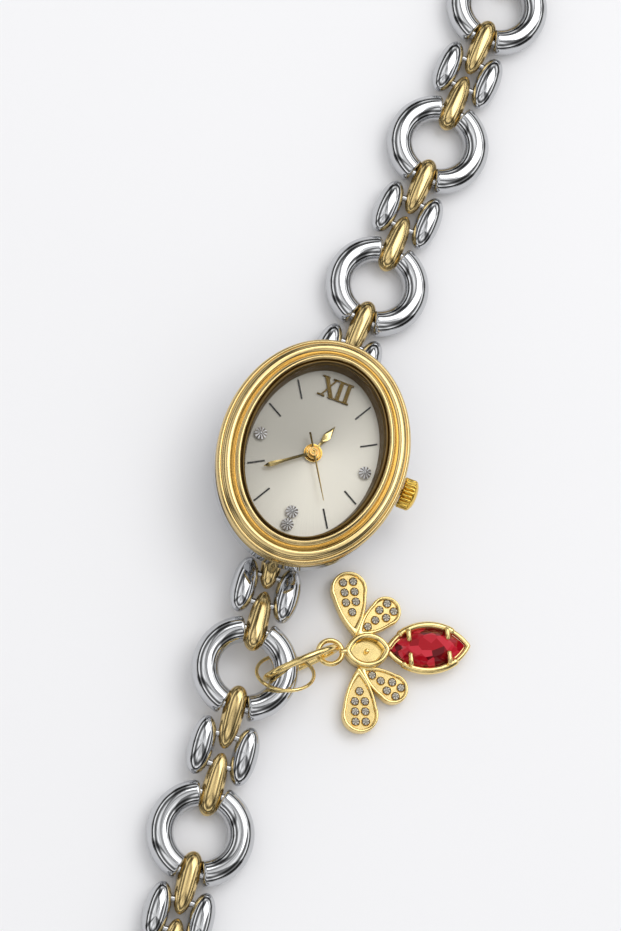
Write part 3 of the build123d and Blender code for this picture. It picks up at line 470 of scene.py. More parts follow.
def make_dial_finish(base):
    """Sunray lacquer: fine rays from the middle over a satin silver ground, with painted sheen and shade across it."""
    tree, shader = new_finish("sunray_lacquer_painted_sheen", base, 0.3, 0.42, Anisotropic=0.5)
    place = add_node(tree, "ShaderNodeTexCoord").outputs["Object"]
    parts = add_node(tree, "ShaderNodeSeparateXYZ", {"Vector": place})
    turn = add_node(tree, "ShaderNodeMath", {0: parts.outputs["Y"], 1: parts.outputs["X"]}, operation="ARCTAN2")
    # About one ray for each degree shows at this size, where real brushing is finer
    rays = add_node(tree, "ShaderNodeTexNoise", {
        "W": turn.outputs["Value"], "Scale": 55.0, "Detail": 3.0,
    }, noise_dimensions="1D")
    tone = add_node(tree, "ShaderNodeValToRGB", {"Fac": rays.outputs["Fac"]})
    set_stops(tone.color_ramp, ((0.25, scaled(base, 0.96)), (0.75, scaled(base, 1.03))))
    # Painted sheen and shade: the lacquer's colour is made lighter towards 4 o'clock and darker towards 9, where a
    # brushed dial catches and loses the light
    lightest = math.radians(40)
    swing = add_node(tree, "ShaderNodeMath", {0: turn.outputs["Value"], 1: lightest}, operation="ADD")
    wave = add_node(tree, "ShaderNodeMath", {0: swing.outputs["Value"]}, operation="COSINE")
    painted_sheen_sector = add_node(tree, "ShaderNodeMapRange", {
        "Value": wave.outputs["Value"], "From Min": -1.0, "From Max": 1.0, "To Min": 0.66, "To Max": 1.24,
    }, interpolation_type="SMOOTHSTEP")
    shaded = add_node(tree, "ShaderNodeVectorMath", {
        0: tone.outputs["Color"], "Scale": painted_sheen_sector.outputs["Result"],
    }, operation="SCALE")
    relief = add_node(tree, "ShaderNodeBump", {
        "Height": rays.outputs["Fac"], "Strength": 0.05, "Distance": 0.02 * MM,
    })
    tree.links.new(shaded.outputs["Vector"], shader.inputs["Base Color"])
    tree.links.new(relief.outputs["Normal"], shader.inputs["Normal"])


# Repeated pieces by geometry nodes

def new_tree(name, inputs):
    """A geometry tree with one output and named inputs of (name, socket type, default)."""
    tree = bpy.data.node_groups.new(name, "GeometryNodeTree")
    tree.interface.new_socket("Geometry", in_out="OUTPUT", socket_type="NodeSocketGeometry")
    for label, kind, default in inputs:
        socket = tree.interface.new_socket(label, in_out="INPUT", socket_type=kind)
        if default is not None:
            socket.default_value = default
    return tree


def run_tree(name, tree, values, transform=None, smooth=40):
    """The plain mesh object that a tree makes with these input values."""
    holder = put_in_scene(name + "_holder", bpy.data.meshes.new(name + "_holder"))
    modifier = holder.modifiers.new("pieces", "NODES")
    modifier.node_group = tree
    for item in tree.interface.items_tree:
        if item.in_out == "INPUT" and item.name in values:
            modifier[item.identifier] = values[item.name]
    graph = bpy.context.evaluated_depsgraph_get()
    graph.update()
    mesh = bpy.data.meshes.new_from_object(holder.evaluated_get(graph))
    bpy.data.objects.remove(holder)
    mesh.name = name
    if transform is not None:
        mesh.transform(transform)
    shade(mesh, smooth)
    return put_in_scene(name, mesh)


def blunt_grain(tree, ball, power, lean):
    """Swells a unit ball to a blunt grain along Y: radius sqrt(1 - |y|^power), fuller at one end by the lean."""
    position = add_node(tree, "GeometryNodeInputPosition").outputs["Position"]
    parts = add_node(tree, "ShaderNodeSeparateXYZ", {"Vector": position}).outputs
    values = {"across": parts["X"], "along": parts["Y"], "up": parts["Z"], "power": power, "lean": lean}
    # Each row names a number and how it is worked out from others
    for name, operation, *given in (
        ("reach", "ABSOLUTE", "along"), ("fall", "POWER", "reach", "power"), ("left", "SUBTRACT", 1.0, "fall"),
        ("wanted", "MAXIMUM", "left", 0.0), ("square", "MULTIPLY", "along", "along"),
        ("ball", "SUBTRACT", 1.0, "square"), ("present", "MAXIMUM", "ball", 1e-6),
        ("ratio", "DIVIDE", "wanted", "present"), ("swell", "SQRT", "ratio"),
        ("fuller", "MULTIPLY_ADD", "along", "lean", 1.0), ("factor", "MULTIPLY", "swell", "fuller"),
        ("wide", "MULTIPLY", "across", "factor"), ("high", "MULTIPLY", "up", "factor"),
    ):
        links = {k: values.get(item, item) for k, item in enumerate(given)}
        values[name] = add_node(tree, "ShaderNodeMath", links, operation=operation).outputs["Value"]
    spot = add_node(tree, "ShaderNodeCombineXYZ", {"X": values["wide"], "Y": values["along"], "Z": values["high"]})
    return add_node(tree, "GeometryNodeSetPosition", {
        "Geometry": ball, "Position": spot.outputs["Vector"],
    }).outputs["Geometry"]


def grain_tree():
    """Rice grain bodies in a row across the band, with cross pins through them."""
    tree = new_tree("band_grains", (
        ("Count", "NodeSocketInt", 1), ("Spread", "NodeSocketFloat", 0.0),
        ("Half Size", "NodeSocketVector", (1, 1, 1)), ("Power", "NodeSocketFloat", 2.0),
        ("Lean", "NodeSocketFloat", 0.0), ("Pin Radius", "NodeSocketFloat", 0.35 * MM),
        ("Pin Length", "NodeSocketFloat", 1 * MM), ("Pin Spread", "NodeSocketFloat", 0.0),
        ("Finish", "NodeSocketMaterial", None),
    ))
    given = add_node(tree, "NodeGroupInput").outputs
    sphere = add_node(tree, "GeometryNodeMeshUVSphere", {"Segments": 56, "Rings": 40, "Radius": 1.0})
    turned = add_node(tree, "GeometryNodeTransform", {
        "Geometry": sphere.outputs["Mesh"], "Rotation": (math.pi / 2, 0, 0),
    })
    blunt = blunt_grain(tree, turned.outputs["Geometry"], given["Power"], given["Lean"])
    grain = add_node(tree, "GeometryNodeTransform", {"Geometry": blunt, "Scale": given["Half Size"]})
    pin = add_node(tree, "GeometryNodeMeshCylinder", {
        "Vertices": 24, "Radius": given["Pin Radius"], "Depth": given["Pin Length"],
    })
    laid = add_node(tree, "GeometryNodeTransform", {
        "Geometry": pin.outputs["Mesh"], "Rotation": (0, math.pi / 2, 0),
    })
    both = add_node(tree, "GeometryNodeJoinGeometry")
    for way, spread, count, body in (
        ("X", given["Spread"], given["Count"], grain), ("Y", given["Pin Spread"], 2, laid),
    ):
        last = add_node(tree, "ShaderNodeCombineXYZ", {way: spread}).outputs["Vector"]
        start = add_node(tree, "ShaderNodeVectorMath", {0: last, "Scale": -1.0}, operation="SCALE")
        step = add_node(tree, "ShaderNodeVectorMath", {0: last, "Scale": 2.0}, operation="SCALE")
        row = add_node(tree, "GeometryNodeMeshLine", {
            "Count": count, "Start Location": start.outputs["Vector"], "Offset": step.outputs["Vector"],
        })
        bodies = add_node(tree, "GeometryNodeInstanceOnPoints", {
            "Points": row.outputs["Mesh"], "Instance": body.outputs["Geometry"],
        })
        tree.links.new(bodies.outputs["Instances"], both.inputs["Geometry"])
    real = add_node(tree, "GeometryNodeRealizeInstances", {"Geometry": both.outputs["Geometry"]})
    dressed = add_node(tree, "GeometryNodeSetMaterial", {
        "Geometry": real.outputs["Geometry"], "Material": given["Finish"],
    })
    out = add_node(tree, "NodeGroupOutput")
    tree.links.new(dressed.outputs["Geometry"], out.inputs["Geometry"])
    return tree


def stone_tree():
    """The same faceted stone at every point of a mesh."""
    tree = new_tree("set_stones", (
        ("Places", "NodeSocketObject", None), ("Radius", "NodeSocketFloat", 1 * MM),
        ("Height", "NodeSocketFloat", 1 * MM), ("Facets", "NodeSocketInt", 8),
        ("Finish", "NodeSocketMaterial", None), ("Dark Finish", "NodeSocketMaterial", None),
    ))
    given = add_node(tree, "NodeGroupInput").outputs
    places = add_node(tree, "GeometryNodeObjectInfo", {"Object": given["Places"]})
    # Radii of the culet's flat and of the table, and heights of the lower part, the crown and the tilt
    foot, table, lower, upper, tilt = (
        add_node(tree, "ShaderNodeMath", {0: given[size], 1: share}, operation="MULTIPLY").outputs["Value"]
        for size, share in (("Radius", 0.55), ("Radius", 0.1), ("Height", 0.45), ("Height", 0.55), ("Height", 0.35))
    )
    crown = add_node(tree, "GeometryNodeMeshCone", {
        "Vertices": given["Facets"], "Radius Top": table, "Radius Bottom": given["Radius"], "Depth": upper,
    })
    girdle = add_node(tree, "GeometryNodeMeshCone", {
        "Vertices": given["Facets"], "Radius Top": given["Radius"], "Radius Bottom": foot, "Depth": lower,
    })
    # Every second corner stands higher, so the facets tilt in turn like the wedges of a star
    corner = add_node(tree, "GeometryNodeInputIndex")
    odd = add_node(tree, "ShaderNodeMath", {0: corner.outputs["Index"], 1: 2.0}, operation="MODULO")
    hop = add_node(tree, "ShaderNodeMath", {0: odd.outputs["Value"], 1: tilt}, operation="MULTIPLY")
    hop_up = add_node(tree, "ShaderNodeCombineXYZ", {"Z": hop.outputs["Value"]})
    star = add_node(tree, "GeometryNodeSetPosition", {
        "Geometry": crown.outputs["Mesh"], "Offset": hop_up.outputs["Vector"],
    })
    lift = add_node(tree, "ShaderNodeCombineXYZ", {"Z": lower})
    raised = add_node(tree, "GeometryNodeTransform", {
        "Geometry": star.outputs["Geometry"], "Translation": lift.outputs["Vector"],
    })
    whole = add_node(tree, "GeometryNodeJoinGeometry")
    tree.links.new(girdle.outputs["Mesh"], whole.inputs["Geometry"])
    tree.links.new(raised.outputs["Geometry"], whole.inputs["Geometry"])
    index = add_node(tree, "GeometryNodeInputIndex")
    turn = add_node(tree, "ShaderNodeCombineXYZ", {"Z": index.outputs["Index"]})
    stones = add_node(tree, "GeometryNodeInstanceOnPoints", {
        "Points": places.outputs["Geometry"], "Instance": whole.outputs["Geometry"],
        "Rotation": turn.outputs["Vector"],
    })
    real = add_node(tree, "GeometryNodeRealizeInstances", {"Geometry": stones.outputs["Instances"]})
    dressed = add_node(tree, "GeometryNodeSetMaterial", {
        "Geometry": real.outputs["Geometry"], "Material": given["Finish"],
    })
    # Every second face takes the dark finish: painted reflection on the clear stones, painted shade on the stone seats
    face = add_node(tree, "GeometryNodeInputIndex")
    second = add_node(tree, "ShaderNodeMath", {0: face.outputs["Index"], 1: 2.0}, operation="MODULO")
    dark = add_node(tree, "GeometryNodeSetMaterial", {
        "Geometry": dressed.outputs["Geometry"], "Selection": second.outputs["Value"], "Material": given["Dark Finish"],
    })
    out = add_node(tree, "NodeGroupOutput")
    tree.links.new(dark.outputs["Geometry"], out.inputs["Geometry"])
    return tree


def points_object(name, places):
    """An object of loose points that a tree reads places from."""
    mesh = bpy.data.meshes.new(name)
    mesh.from_pydata([tuple(p) for p in places], [], [])
    return bpy.data.objects.new(name, mesh)


# Places on the band

def band_places(body):
    """Centre, outward and across directions of a band piece, from the joints at its two ends."""
    near = Vector(JOINT[body]["pos_m"])
    far = [Vector(j["pos_m"]) for j in frame["joints"] if j["parent"] == body and "band_end" not in j]
    end = next((p for p in far if (p - near).length > 1e-6), near + Vector((0, 1, 0)))
    outward = (end - near).normalized()
    across = outward.cross(UP).normalized()
    return near, end, outward, across


def band_matrix(centre, outward, across):
    """Lays a piece made along Y with its top up Z on the band."""
    up = across.cross(outward)
    return Matrix.Translation(centre) @ Matrix((across, outward, up)).transposed().to_4x4()


class WatchOperator(bpy.types.Operator):
    bl_options = {"REGISTER", "UNDO"}


class WATCH_OT_bezel(WatchOperator):
    """Gilt bezel with two rounded rings, a groove and an inner wall in dark painted shade"""
    bl_idname = "watch.bezel"
    bl_label = "Bezel"

    def execute(self, context):
        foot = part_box("bezel")[0].z
        # Thin lip, broad ring, groove and inner ring, from the foot outside to the foot inside
        rings = (
            (0.5, 0), (0.25, 0.16), (0.08, 0.42), (0, 0.75), (0.02, 1.0), (0.08, 1.2), (0.17, 1.33), (0.28, 1.4),
            (0.38, 1.4), (0.45, 1.35), (0.5, 1.4), (0.58, 1.52), (0.7, 1.63), (0.86, 1.71), (1.02, 1.75), (1.2, 1.75),
            (1.36, 1.71), (1.5, 1.63), (1.6, 1.53), (1.66, 1.47), (1.72, 1.5), (1.77, 1.66), (1.84, 1.88),
            (1.93, 2.06), (2.04, 2.18), (2.16, 2.24), (2.28, 2.25), (2.38, 2.2), (2.47, 2.1), (2.55, 1.96),
            (2.62, 1.78), (2.63, 1.4), (2.88, 1.3), (2.92, 0),
        )
        # The inner wall is a separate layer in dark bronze: painted shade over the gilt
        wall = (
            (2.61, 1.78), (2.65, 1.8), (2.69, 1.7), (2.76, 1.62), (2.95, 1.5), (3.05, 1.1), (3.2, 0.22), (2.9, 0.22),
            (2.86, 1.2), (2.6, 1.3),
        )
        for name, profile, finish, smooth, nodes in (
            ("bezel_rings", rings, "champagne_gold_plate", 50, ["bezel"]),
            ("bezel_inner_wall", wall, "bronze_and_painted_shade", 40, []),
        ):
            ring = add_piece(name, oval_ring(profile, foot, settings("head")), finish, smooth)
            dress(ring, "case", "champagne_gold", *nodes)
        return {"FINISHED"}


class WATCH_OT_case(WatchOperator):
    """Steel case, case back, lug bars and the sealed inner pieces"""
    bl_idname = "watch.case"
    bl_label = "Case and inner pieces"

    def execute(self, context):
        finishes = {
            "case_middle": "polished_stainless_steel", "case_back": "satin_stainless_steel",
            "lug_bars": "satin_stainless_steel", "stem": "satin_stainless_steel",
            "setting_lever": "satin_stainless_steel", "battery": "satin_stainless_steel",
            # The coil and the crystal seal take the same dark bronze as the bezel's painted shade wall
            "movement_plate": "champagne_gold_plate", "coil": "bronze_and_painted_shade",
            "movement_holder": "sunray_lacquer_painted_sheen", "crown_gasket": "nitrile_seal_rubber",
            "case_back_gasket": "nitrile_seal_rubber", "crystal_gasket": "bronze_and_painted_shade",
            "clasp_base": "polished_stainless_steel", "clasp_cover": "polished_stainless_steel",
            "clasp_pin": "satin_stainless_steel",
        }
        for node, finish in finishes.items():
            paint(frame["nodes"][node].data, finish)
        return {"FINISHED"}


class WATCH_OT_dial(WatchOperator):
    """Sunray dial with its numeral, batons and stones"""
    bl_idname = "watch.dial"
    bl_label = "Dial and markers"

    def execute(self, context):
        paint(frame["nodes"]["dial"].data, "sunray_lacquer_painted_sheen")
        paint(frame["nodes"]["hour_batons"].data, "black_dial_lacquer")
        mesh = frame["nodes"]["numeral_twelve"].data.copy()
        centre = middle("numeral_twelve")
        widen = Matrix.Diagonal((1.12, 1.04, 1, 1))
        mesh.transform(Matrix.Translation(centre) @ widen @ Matrix.Translation(-centre))
        numeral = finish_piece("roman_twelve", mesh, "dark_gold_print", 30)
        dress(numeral, "case", "yellow_gold", "numeral_twelve")
        self.add_stones(settings("head").stone_radius)
        return {"FINISHED"}

    def add_stones(self, radius):
        """One stone at 3, one at 9 and two above 6 o'clock."""
        low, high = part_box("dial_stones")
        height = high.z - low.z
        side = high.x - radius
        lowest = low.y + radius
        pair_step = 1.46 * MM
        spots = [Vector((x, y, low.z)) for x, y in ((side, 0), (-side, 0), (0, lowest), (0, lowest + pair_step))]
        places = points_object("dial_stone_places", [p + UP * height * 0.225 for p in spots])
        stones = run_tree("dial_stone_set", stone_tree(), {
            "Places": places, "Radius": radius, "Height": height, "Facets": 20,
            "Finish": bpy.data.materials["foiled_clear_stone"],
            "Dark Finish": bpy.data.materials["painted_reflection_facet"],
        }, smooth=0)
        dress(stones, "case", "clear_stone", "dial_stones")


class WATCH_OT_hands(WatchOperator):
    """Hour, minute and second hands with their hubs"""
    bl_idname = "watch.hands"
    bl_label = "Hands"

    def blade(self, direction, base, thickness, stations):
        """A ridged blade from (distance, half width) pairs."""
        side = Vector((-direction.y, direction.x, 0))
        rows = []
        for distance, half in stations:
            spot = direction * distance + UP * base
            rows.append([
                spot - side * half, spot + side * half, spot + side * half + UP * thickness * 0.35,
                spot + UP * thickness, spot - side * half + UP * thickness * 0.35,
            ])
        return join_rows(rows)

    def execute(self, context):
        head = settings("head")
        half = head.hour_width / 2
        reach = 3.8 * MM
        self.add_hand("hour_hand", MINUTES_SHOWN / 60 * 30, 1, (
            (0.6 * MM, half * 0.3), (reach * 0.36, half * 0.4), (reach * 0.54, half * 0.82), (reach * 0.62, half),
            (reach * 0.7, half * 0.88), (reach, half * 0.06),
        ), (1.0, 0.62, 0.46))
        half = head.minute_width / 2
        reach = 5.5 * MM
        self.add_hand("minute_hand", MINUTES_SHOWN * 6, 1, (
            (0.3 * MM, half * 0.5), (reach * 0.6, half * 0.62), (reach * 0.84, half), (reach * 0.9, half * 0.85),
            (reach, half * 0.08),
        ), (0.75, 0.43, 0.23))
        half = head.second_width / 2
        self.add_hand("second_hand", SECONDS_SHOWN * 6, 2, (
            (-2.1 * MM, half * 1.3), (-0.5 * MM, half * 1.1), (0, half * 1.2), (2.5 * MM, half),
            (5.35 * MM, half * 0.45),
        ), (0.5, 0.2, 0))
        return {"FINISHED"}

    def add_hand(self, body, degrees, layers, stations, hub):
        """A hand from its turn, its height in thicknesses, its blade's stations and the radii of hub, pipe and bore."""
        thick = settings("head").hand_thickness
        low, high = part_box(body)
        base = high.z - layers * thick
        turn = math.radians(degrees)
        blade = self.blade(Vector((math.sin(turn), math.cos(turn), 0)), base, thick, stations)
        radius, pipe, bore = (size * MM for size in hub)
        skins = [blade, self.hub(base, radius, pipe, bore, thick, low.z)]
        dress(add_piece(body + "_blade", merge_skins(skins), "pale_gold_plate", 30), body, "yellow_gold", body)

    def hub(self, base, radius, pipe, bore, thick, foot):
        """A round boss with two fine grooves over its pipe, bored for the pipes inside it."""
        ridge = (
            (0.96, 0), (1, 0.4), (0.98, 1), (0.94, 1), (0.87, 0.2), (0.8, 1), (0.62, 1), (0.54, 0.2), (0.46, 1),
            (0.3, 1), (0.2, 0.1),
        )
        profile = [(pipe, foot), (pipe, base)]
        profile += [(radius * share, base + thick * rise) for share, rise in ridge if radius * share > bore]
        if not bore:
            return lathe(profile, (0, 0, 0), UP, 48)
        profile += [(bore, base + thick), (bore, foot)]
        return join_rows([circle(UP * height, RIGHT, AHEAD, reach, 48) for reach, height in profile], closed=True)


class WATCH_OT_crystal(WatchOperator):
    """Slightly domed mineral crystal"""
    bl_idname = "watch.crystal"
    bl_label = "Crystal"

    def execute(self, context):
        dome = settings("head").crystal_dome
        low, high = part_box("crystal")
        edge = high.z - dome
        brim = 0.96
        levels = [(1, low.z), (1, edge - 0.2 * MM), (0.985, edge - 0.06 * MM), (brim, edge)]
        levels += [(share, edge + dome * (1 - (share / brim) ** 2)) for share in (0.8, 0.6, 0.4, 0.2, 0.02)]
        rows = [circle(UP * height, RIGHT, AHEAD, high.x * share, 160, high.y * share) for share, height in levels]
        crystal = add_piece("watch_crystal", join_rows(rows), "mineral_crystal", 40)
        dress(crystal, "case", "crystal_glass", "crystal")
        return {"FINISHED"}


class WATCH_OT_crown(WatchOperator):
    """Fluted crown with a domed end"""
    bl_idname = "watch.crown"
    bl_label = "Crown"

    def execute(self, context):
        head = settings("head")
        low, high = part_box("crown")
        radius = (high.z - low.z) / 2
        centre = Vector((0, 0, (high.z + low.z) / 2))
        span = high.x - low.x
        dome = 0.5 * MM
        rim = span - dome
        points_per_flute = 10
        count = head.crown_flutes * points_per_flute
        # Distance along the crown, share of its radius and share of the flutes' depth
        stations = [
            (0, 0.9, 0.3), (0.08 * MM, 0.98, 1), (0.12 * MM, 1, 1), (rim - 0.2 * MM, 1, 1),
            (rim - 0.12 * MM, 0.995, 0.6), (rim - 0.05 * MM, 0.985, 0), (rim + 0.05 * MM, 0.96, 0),
        ]
        stations += [(rim + dome * math.sin(a), 0.93 * math.cos(a), 0) for a in (0.35, 0.7, 1.0, 1.25, 1.45, 1.56)]
        rows = []
        for along, share, flute in stations:
            row = []
            for k in range(count):
                turn = 2 * math.pi * k / count
                cut = (0.5 - 0.5 * math.cos(turn * head.crown_flutes)) ** 2
                r = radius * share - head.flute_depth * flute * cut
                row.append(centre + Vector((low.x + along, r * math.cos(turn), r * math.sin(turn))))
            rows.append(row)
        crown = add_piece("fluted_crown", join_rows(rows), "yellow_gold_plate", 50)
        dress(crown, "crown", "yellow_gold", "crown")
        return {"FINISHED"}


class WATCH_OT_band(WatchOperator):
    """Gilt links and steel bead pairs of both halves of the band"""
    bl_idname = "watch.band"
    bl_label = "Links and beads"

    def execute(self, context):
        band = settings("band")
        tree = grain_tree()
        links = ["lug_link"] + ["gold_link_" + str(k) for k in range(1, 6)] + ["end_link"]
        for side in SIDES:
            for node in links:
                body = side + "_" + node
                near, end, outward, across = band_places(body)
                half = band.lug_link_half_length if node == "lug_link" else band.link_half_length
                inward = node in ("lug_link", "gold_link_2", "gold_link_4", "end_link")
                place = band_matrix(middle(body), outward, across)
                link = run_tree(body + "_gilt", tree, {
                    "Count": 1, "Spread": 0.0, "Half Size": (band.link_radius, half, band.link_radius),
                    "Power": band.link_power, "Lean": -band.link_lean if inward else band.link_lean,
                    "Pin Radius": band.pin_radius * 0.5, "Pin Length": band.link_radius,
                    "Pin Spread": 0.5 * MM, "Finish": bpy.data.materials["champagne_gold_plate"],
                }, place)
                dress(link, body, "champagne_gold", body)
            for k in (1, 2, 3):
                body = side + "_bead_pair_" + str(k)
                near, end, outward, across = band_places(body)
                place = band_matrix((near + end) / 2, outward, across)
                pair = run_tree(body + "_beads", tree, {
                    "Count": 2, "Spread": band.bead_spread,
                    "Half Size": (band.bead_radius, band.bead_half_length, band.bead_radius),
                    "Power": band.bead_power, "Pin Radius": band.pin_radius, "Pin Length": 2 * band.bead_spread,
                    "Pin Spread": (end - near).length / 2, "Finish": bpy.data.materials["polished_stainless_steel"],
                }, place)
                dress(pair, body, "polished_steel", body)
        return {"FINISHED"}


class WATCH_OT_rings(WatchOperator):
    """Open steel rings with a rounded notch and a bar at each end"""
    bl_idname = "watch.rings"
    bl_label = "Band rings"

    def execute(self, context):
        for side in SIDES:
            for k in (1, 2, 3):
                body = side + "_ring_" + str(k)
                near, end, outward, across = band_places(body)
                place = band_matrix((near + end) / 2, outward, across)
                ring = add_piece(body + "_steel", self.ring(settings("band")), "polished_stainless_steel", 40)
                ring.data.transform(place)
                dress(ring, body, "polished_steel", body)
        return {"FINISHED"}

    def ring(self, band):
        """Two arcs of tube with rounded ends, and the bars that bridge the notches between them."""
        first = math.asin(band.notch_half_width / band.ring_radius)
        skins = []
        steps = 72
        # Shares of the tube's radius: where the rounding of an end starts, and the point that closes it
        blunt_share, closing_share = 0.8, 0.02
        for half in (0, math.pi):
            rows = []
            for k in range(steps + 1):
                share = 0.5 - 0.5 * math.cos(math.pi * k / steps)
                turn = half + math.pi / 2 - first - share * (math.pi - 2 * first)
                from_end = min(share, 1 - share) * (math.pi - 2 * first) * band.ring_radius
                shrink = math.sqrt(max(0, 1 - (1 - min(1, from_end / band.notch_round)) ** 2))
                fullness = blunt_share + (1 - blunt_share) * shrink if from_end else closing_share
                radius = band.tube_radius * fullness
                spoke = Vector((math.cos(turn), math.sin(turn), 0))
                rows.append(circle(spoke * band.ring_radius, spoke, UP, radius, 40))
            skins.append(join_rows(rows))
        for end in (1, -1):
            reach = band.notch_half_width * 1.3
            bar = [Vector((x, end * band.ring_radius, 0)) for x in (-reach, 0, reach)]
            skins.append(tube(bar, band.bar_radius, 24))
        return merge_skins(skins)


class WATCH_OT_clasp(WatchOperator):
    """Wire loop at the end of the band"""
    bl_idname = "watch.clasp"
    bl_label = "Clasp loop"

    def execute(self, context):
        mesh = frame["nodes"]["clasp_loop"].data.copy()
        loop = finish_piece("end_loop", mesh, "polished_stainless_steel", 40)
        dress(loop, "clasp_loop", "polished_steel", "clasp_loop")
        return {"FINISHED"}


class WATCH_OT_jump_rings(WatchOperator):
    """Two gold jump rings that hold the charm"""
    bl_idname = "watch.jump_rings"
    bl_label = "Jump rings"

    def execute(self, context):
        charm = settings("charm")
        centre = middle("jump_ring")
        along = Vector(JOINT["charm"]["pos_m"]) - centre
        along.z = 0
        along.normalize()
        path = circle(centre, along, UP, charm.jump_half_length, 120, charm.jump_half_height)
        ring = add_piece("large_jump_ring", tube(path, charm.jump_wire, 24, closed=True), "pale_gold_plate", 60)
        dress(ring, "jump_ring", "yellow_gold", "jump_ring")
        centre = Vector(JOINT["spare_ring"]["pos_m"])
        along = Vector(JOINT["spare_ring"]["axis"]).normalized()
        side = along.cross(UP)
        lean = math.radians(-50)
        rise = UP * math.cos(lean) - side * math.sin(lean)
        path = circle(centre, along, rise, charm.spare_radius, 120)
        ring = add_piece("small_jump_ring", tube(path, charm.spare_wire, 20, closed=True), "pale_gold_plate", 60)
        dress(ring, "spare_ring", "yellow_gold", "spare_ring")
        return {"FINISHED"}


def charm_matrix():
    """Lays the charm, made along X from its loop, on the table."""
    charm = settings("charm")
    origin = Vector(JOINT["charm"]["pos_m"])
    origin.z = 0
    return Matrix.Translation(origin) @ Matrix.Rotation(charm.heading, 4, "Z")


# Root, middle of the round end, its radius and the stones in each row, in millimetres along and across the charm
WINGS = [
    ((2.9, side * 1.6), (2.65, side * 6.7), 1.92, (2, 2, 2, 1)) for side in (1, -1)
] + [
    ((2.9, side * 1.6), (6.35, side * 4.15), 1.6, (2, 2, 1, 1)) for side in (1, -1)
]


def wing_row(root, centre, radius, inset, height, count=64):
    """Points of the teardrop, moved in by an inset, at one height."""
    root, centre = Vector((*root, 0)) * MM, Vector((*centre, 0)) * MM
    way = centre - root
    unit = way.normalized()
    side = Vector((-unit.y, unit.x, 0))
    r = radius * MM - inset
    tip = root + unit * (inset * way.length / (radius * MM))
    touch = math.asin(r / (centre - tip).length)
    sweep = math.pi + 2 * touch
    points = []
    half = count // 4
    bulge = 0.28 * MM

    def bowed(start, end, k):
        share = k / half
        outward = (end - start).cross(UP).normalized()
        return start.lerp(end, share) - outward * (bulge * 4 * share * (1 - share))

    first = centre + (side * math.cos(touch) - unit * math.sin(touch)) * r
    for k in range(half):
        points.append(bowed(tip, first, k))
    arc = count - 2 * half
    for k in range(arc + 1):
        turn = math.pi / 2 + touch - sweep * k / arc
        points.append(centre + (unit * math.cos(turn) + side * math.sin(turn)) * r)
    last = points[-1]
    for k in range(1, half):
        points.append(bowed(last, tip, k))
    return [p + UP * height for p in points]


def wing_stones(root, centre, radius, rows):
    """Places of a wing's stones, in rows from its round end towards its root."""
    root, centre = Vector((*root, 0)), Vector((*centre, 0))
    unit = (centre - root).normalized()
    side = Vector((-unit.y, unit.x, 0))
    pitch = 1.08
    first = centre + unit * radius * 0.4
    spots = []
    for row, count in enumerate(rows):
        for k in range(count):
            spots.append((first - unit * row * pitch + side * (k - (count - 1) / 2) * pitch) * MM)
    return spots


def marquise_row(half_length, half_width, height, centre_x, count=96):
    """Points of a pointed oval of two arcs at one height."""
    radius = (half_length ** 2 + half_width ** 2) / (2 * half_width)
    reach = math.asin(half_length / radius)
    points = []
    for side in (1, -1):
        for k in range(count // 2):
            turn = -reach + 2 * reach * k / (count // 2)
            x = radius * math.sin(turn) * side
            y = (radius * math.cos(turn) - radius + half_width) * side
            points.append(Vector((centre_x + x, y, height)))
    return points


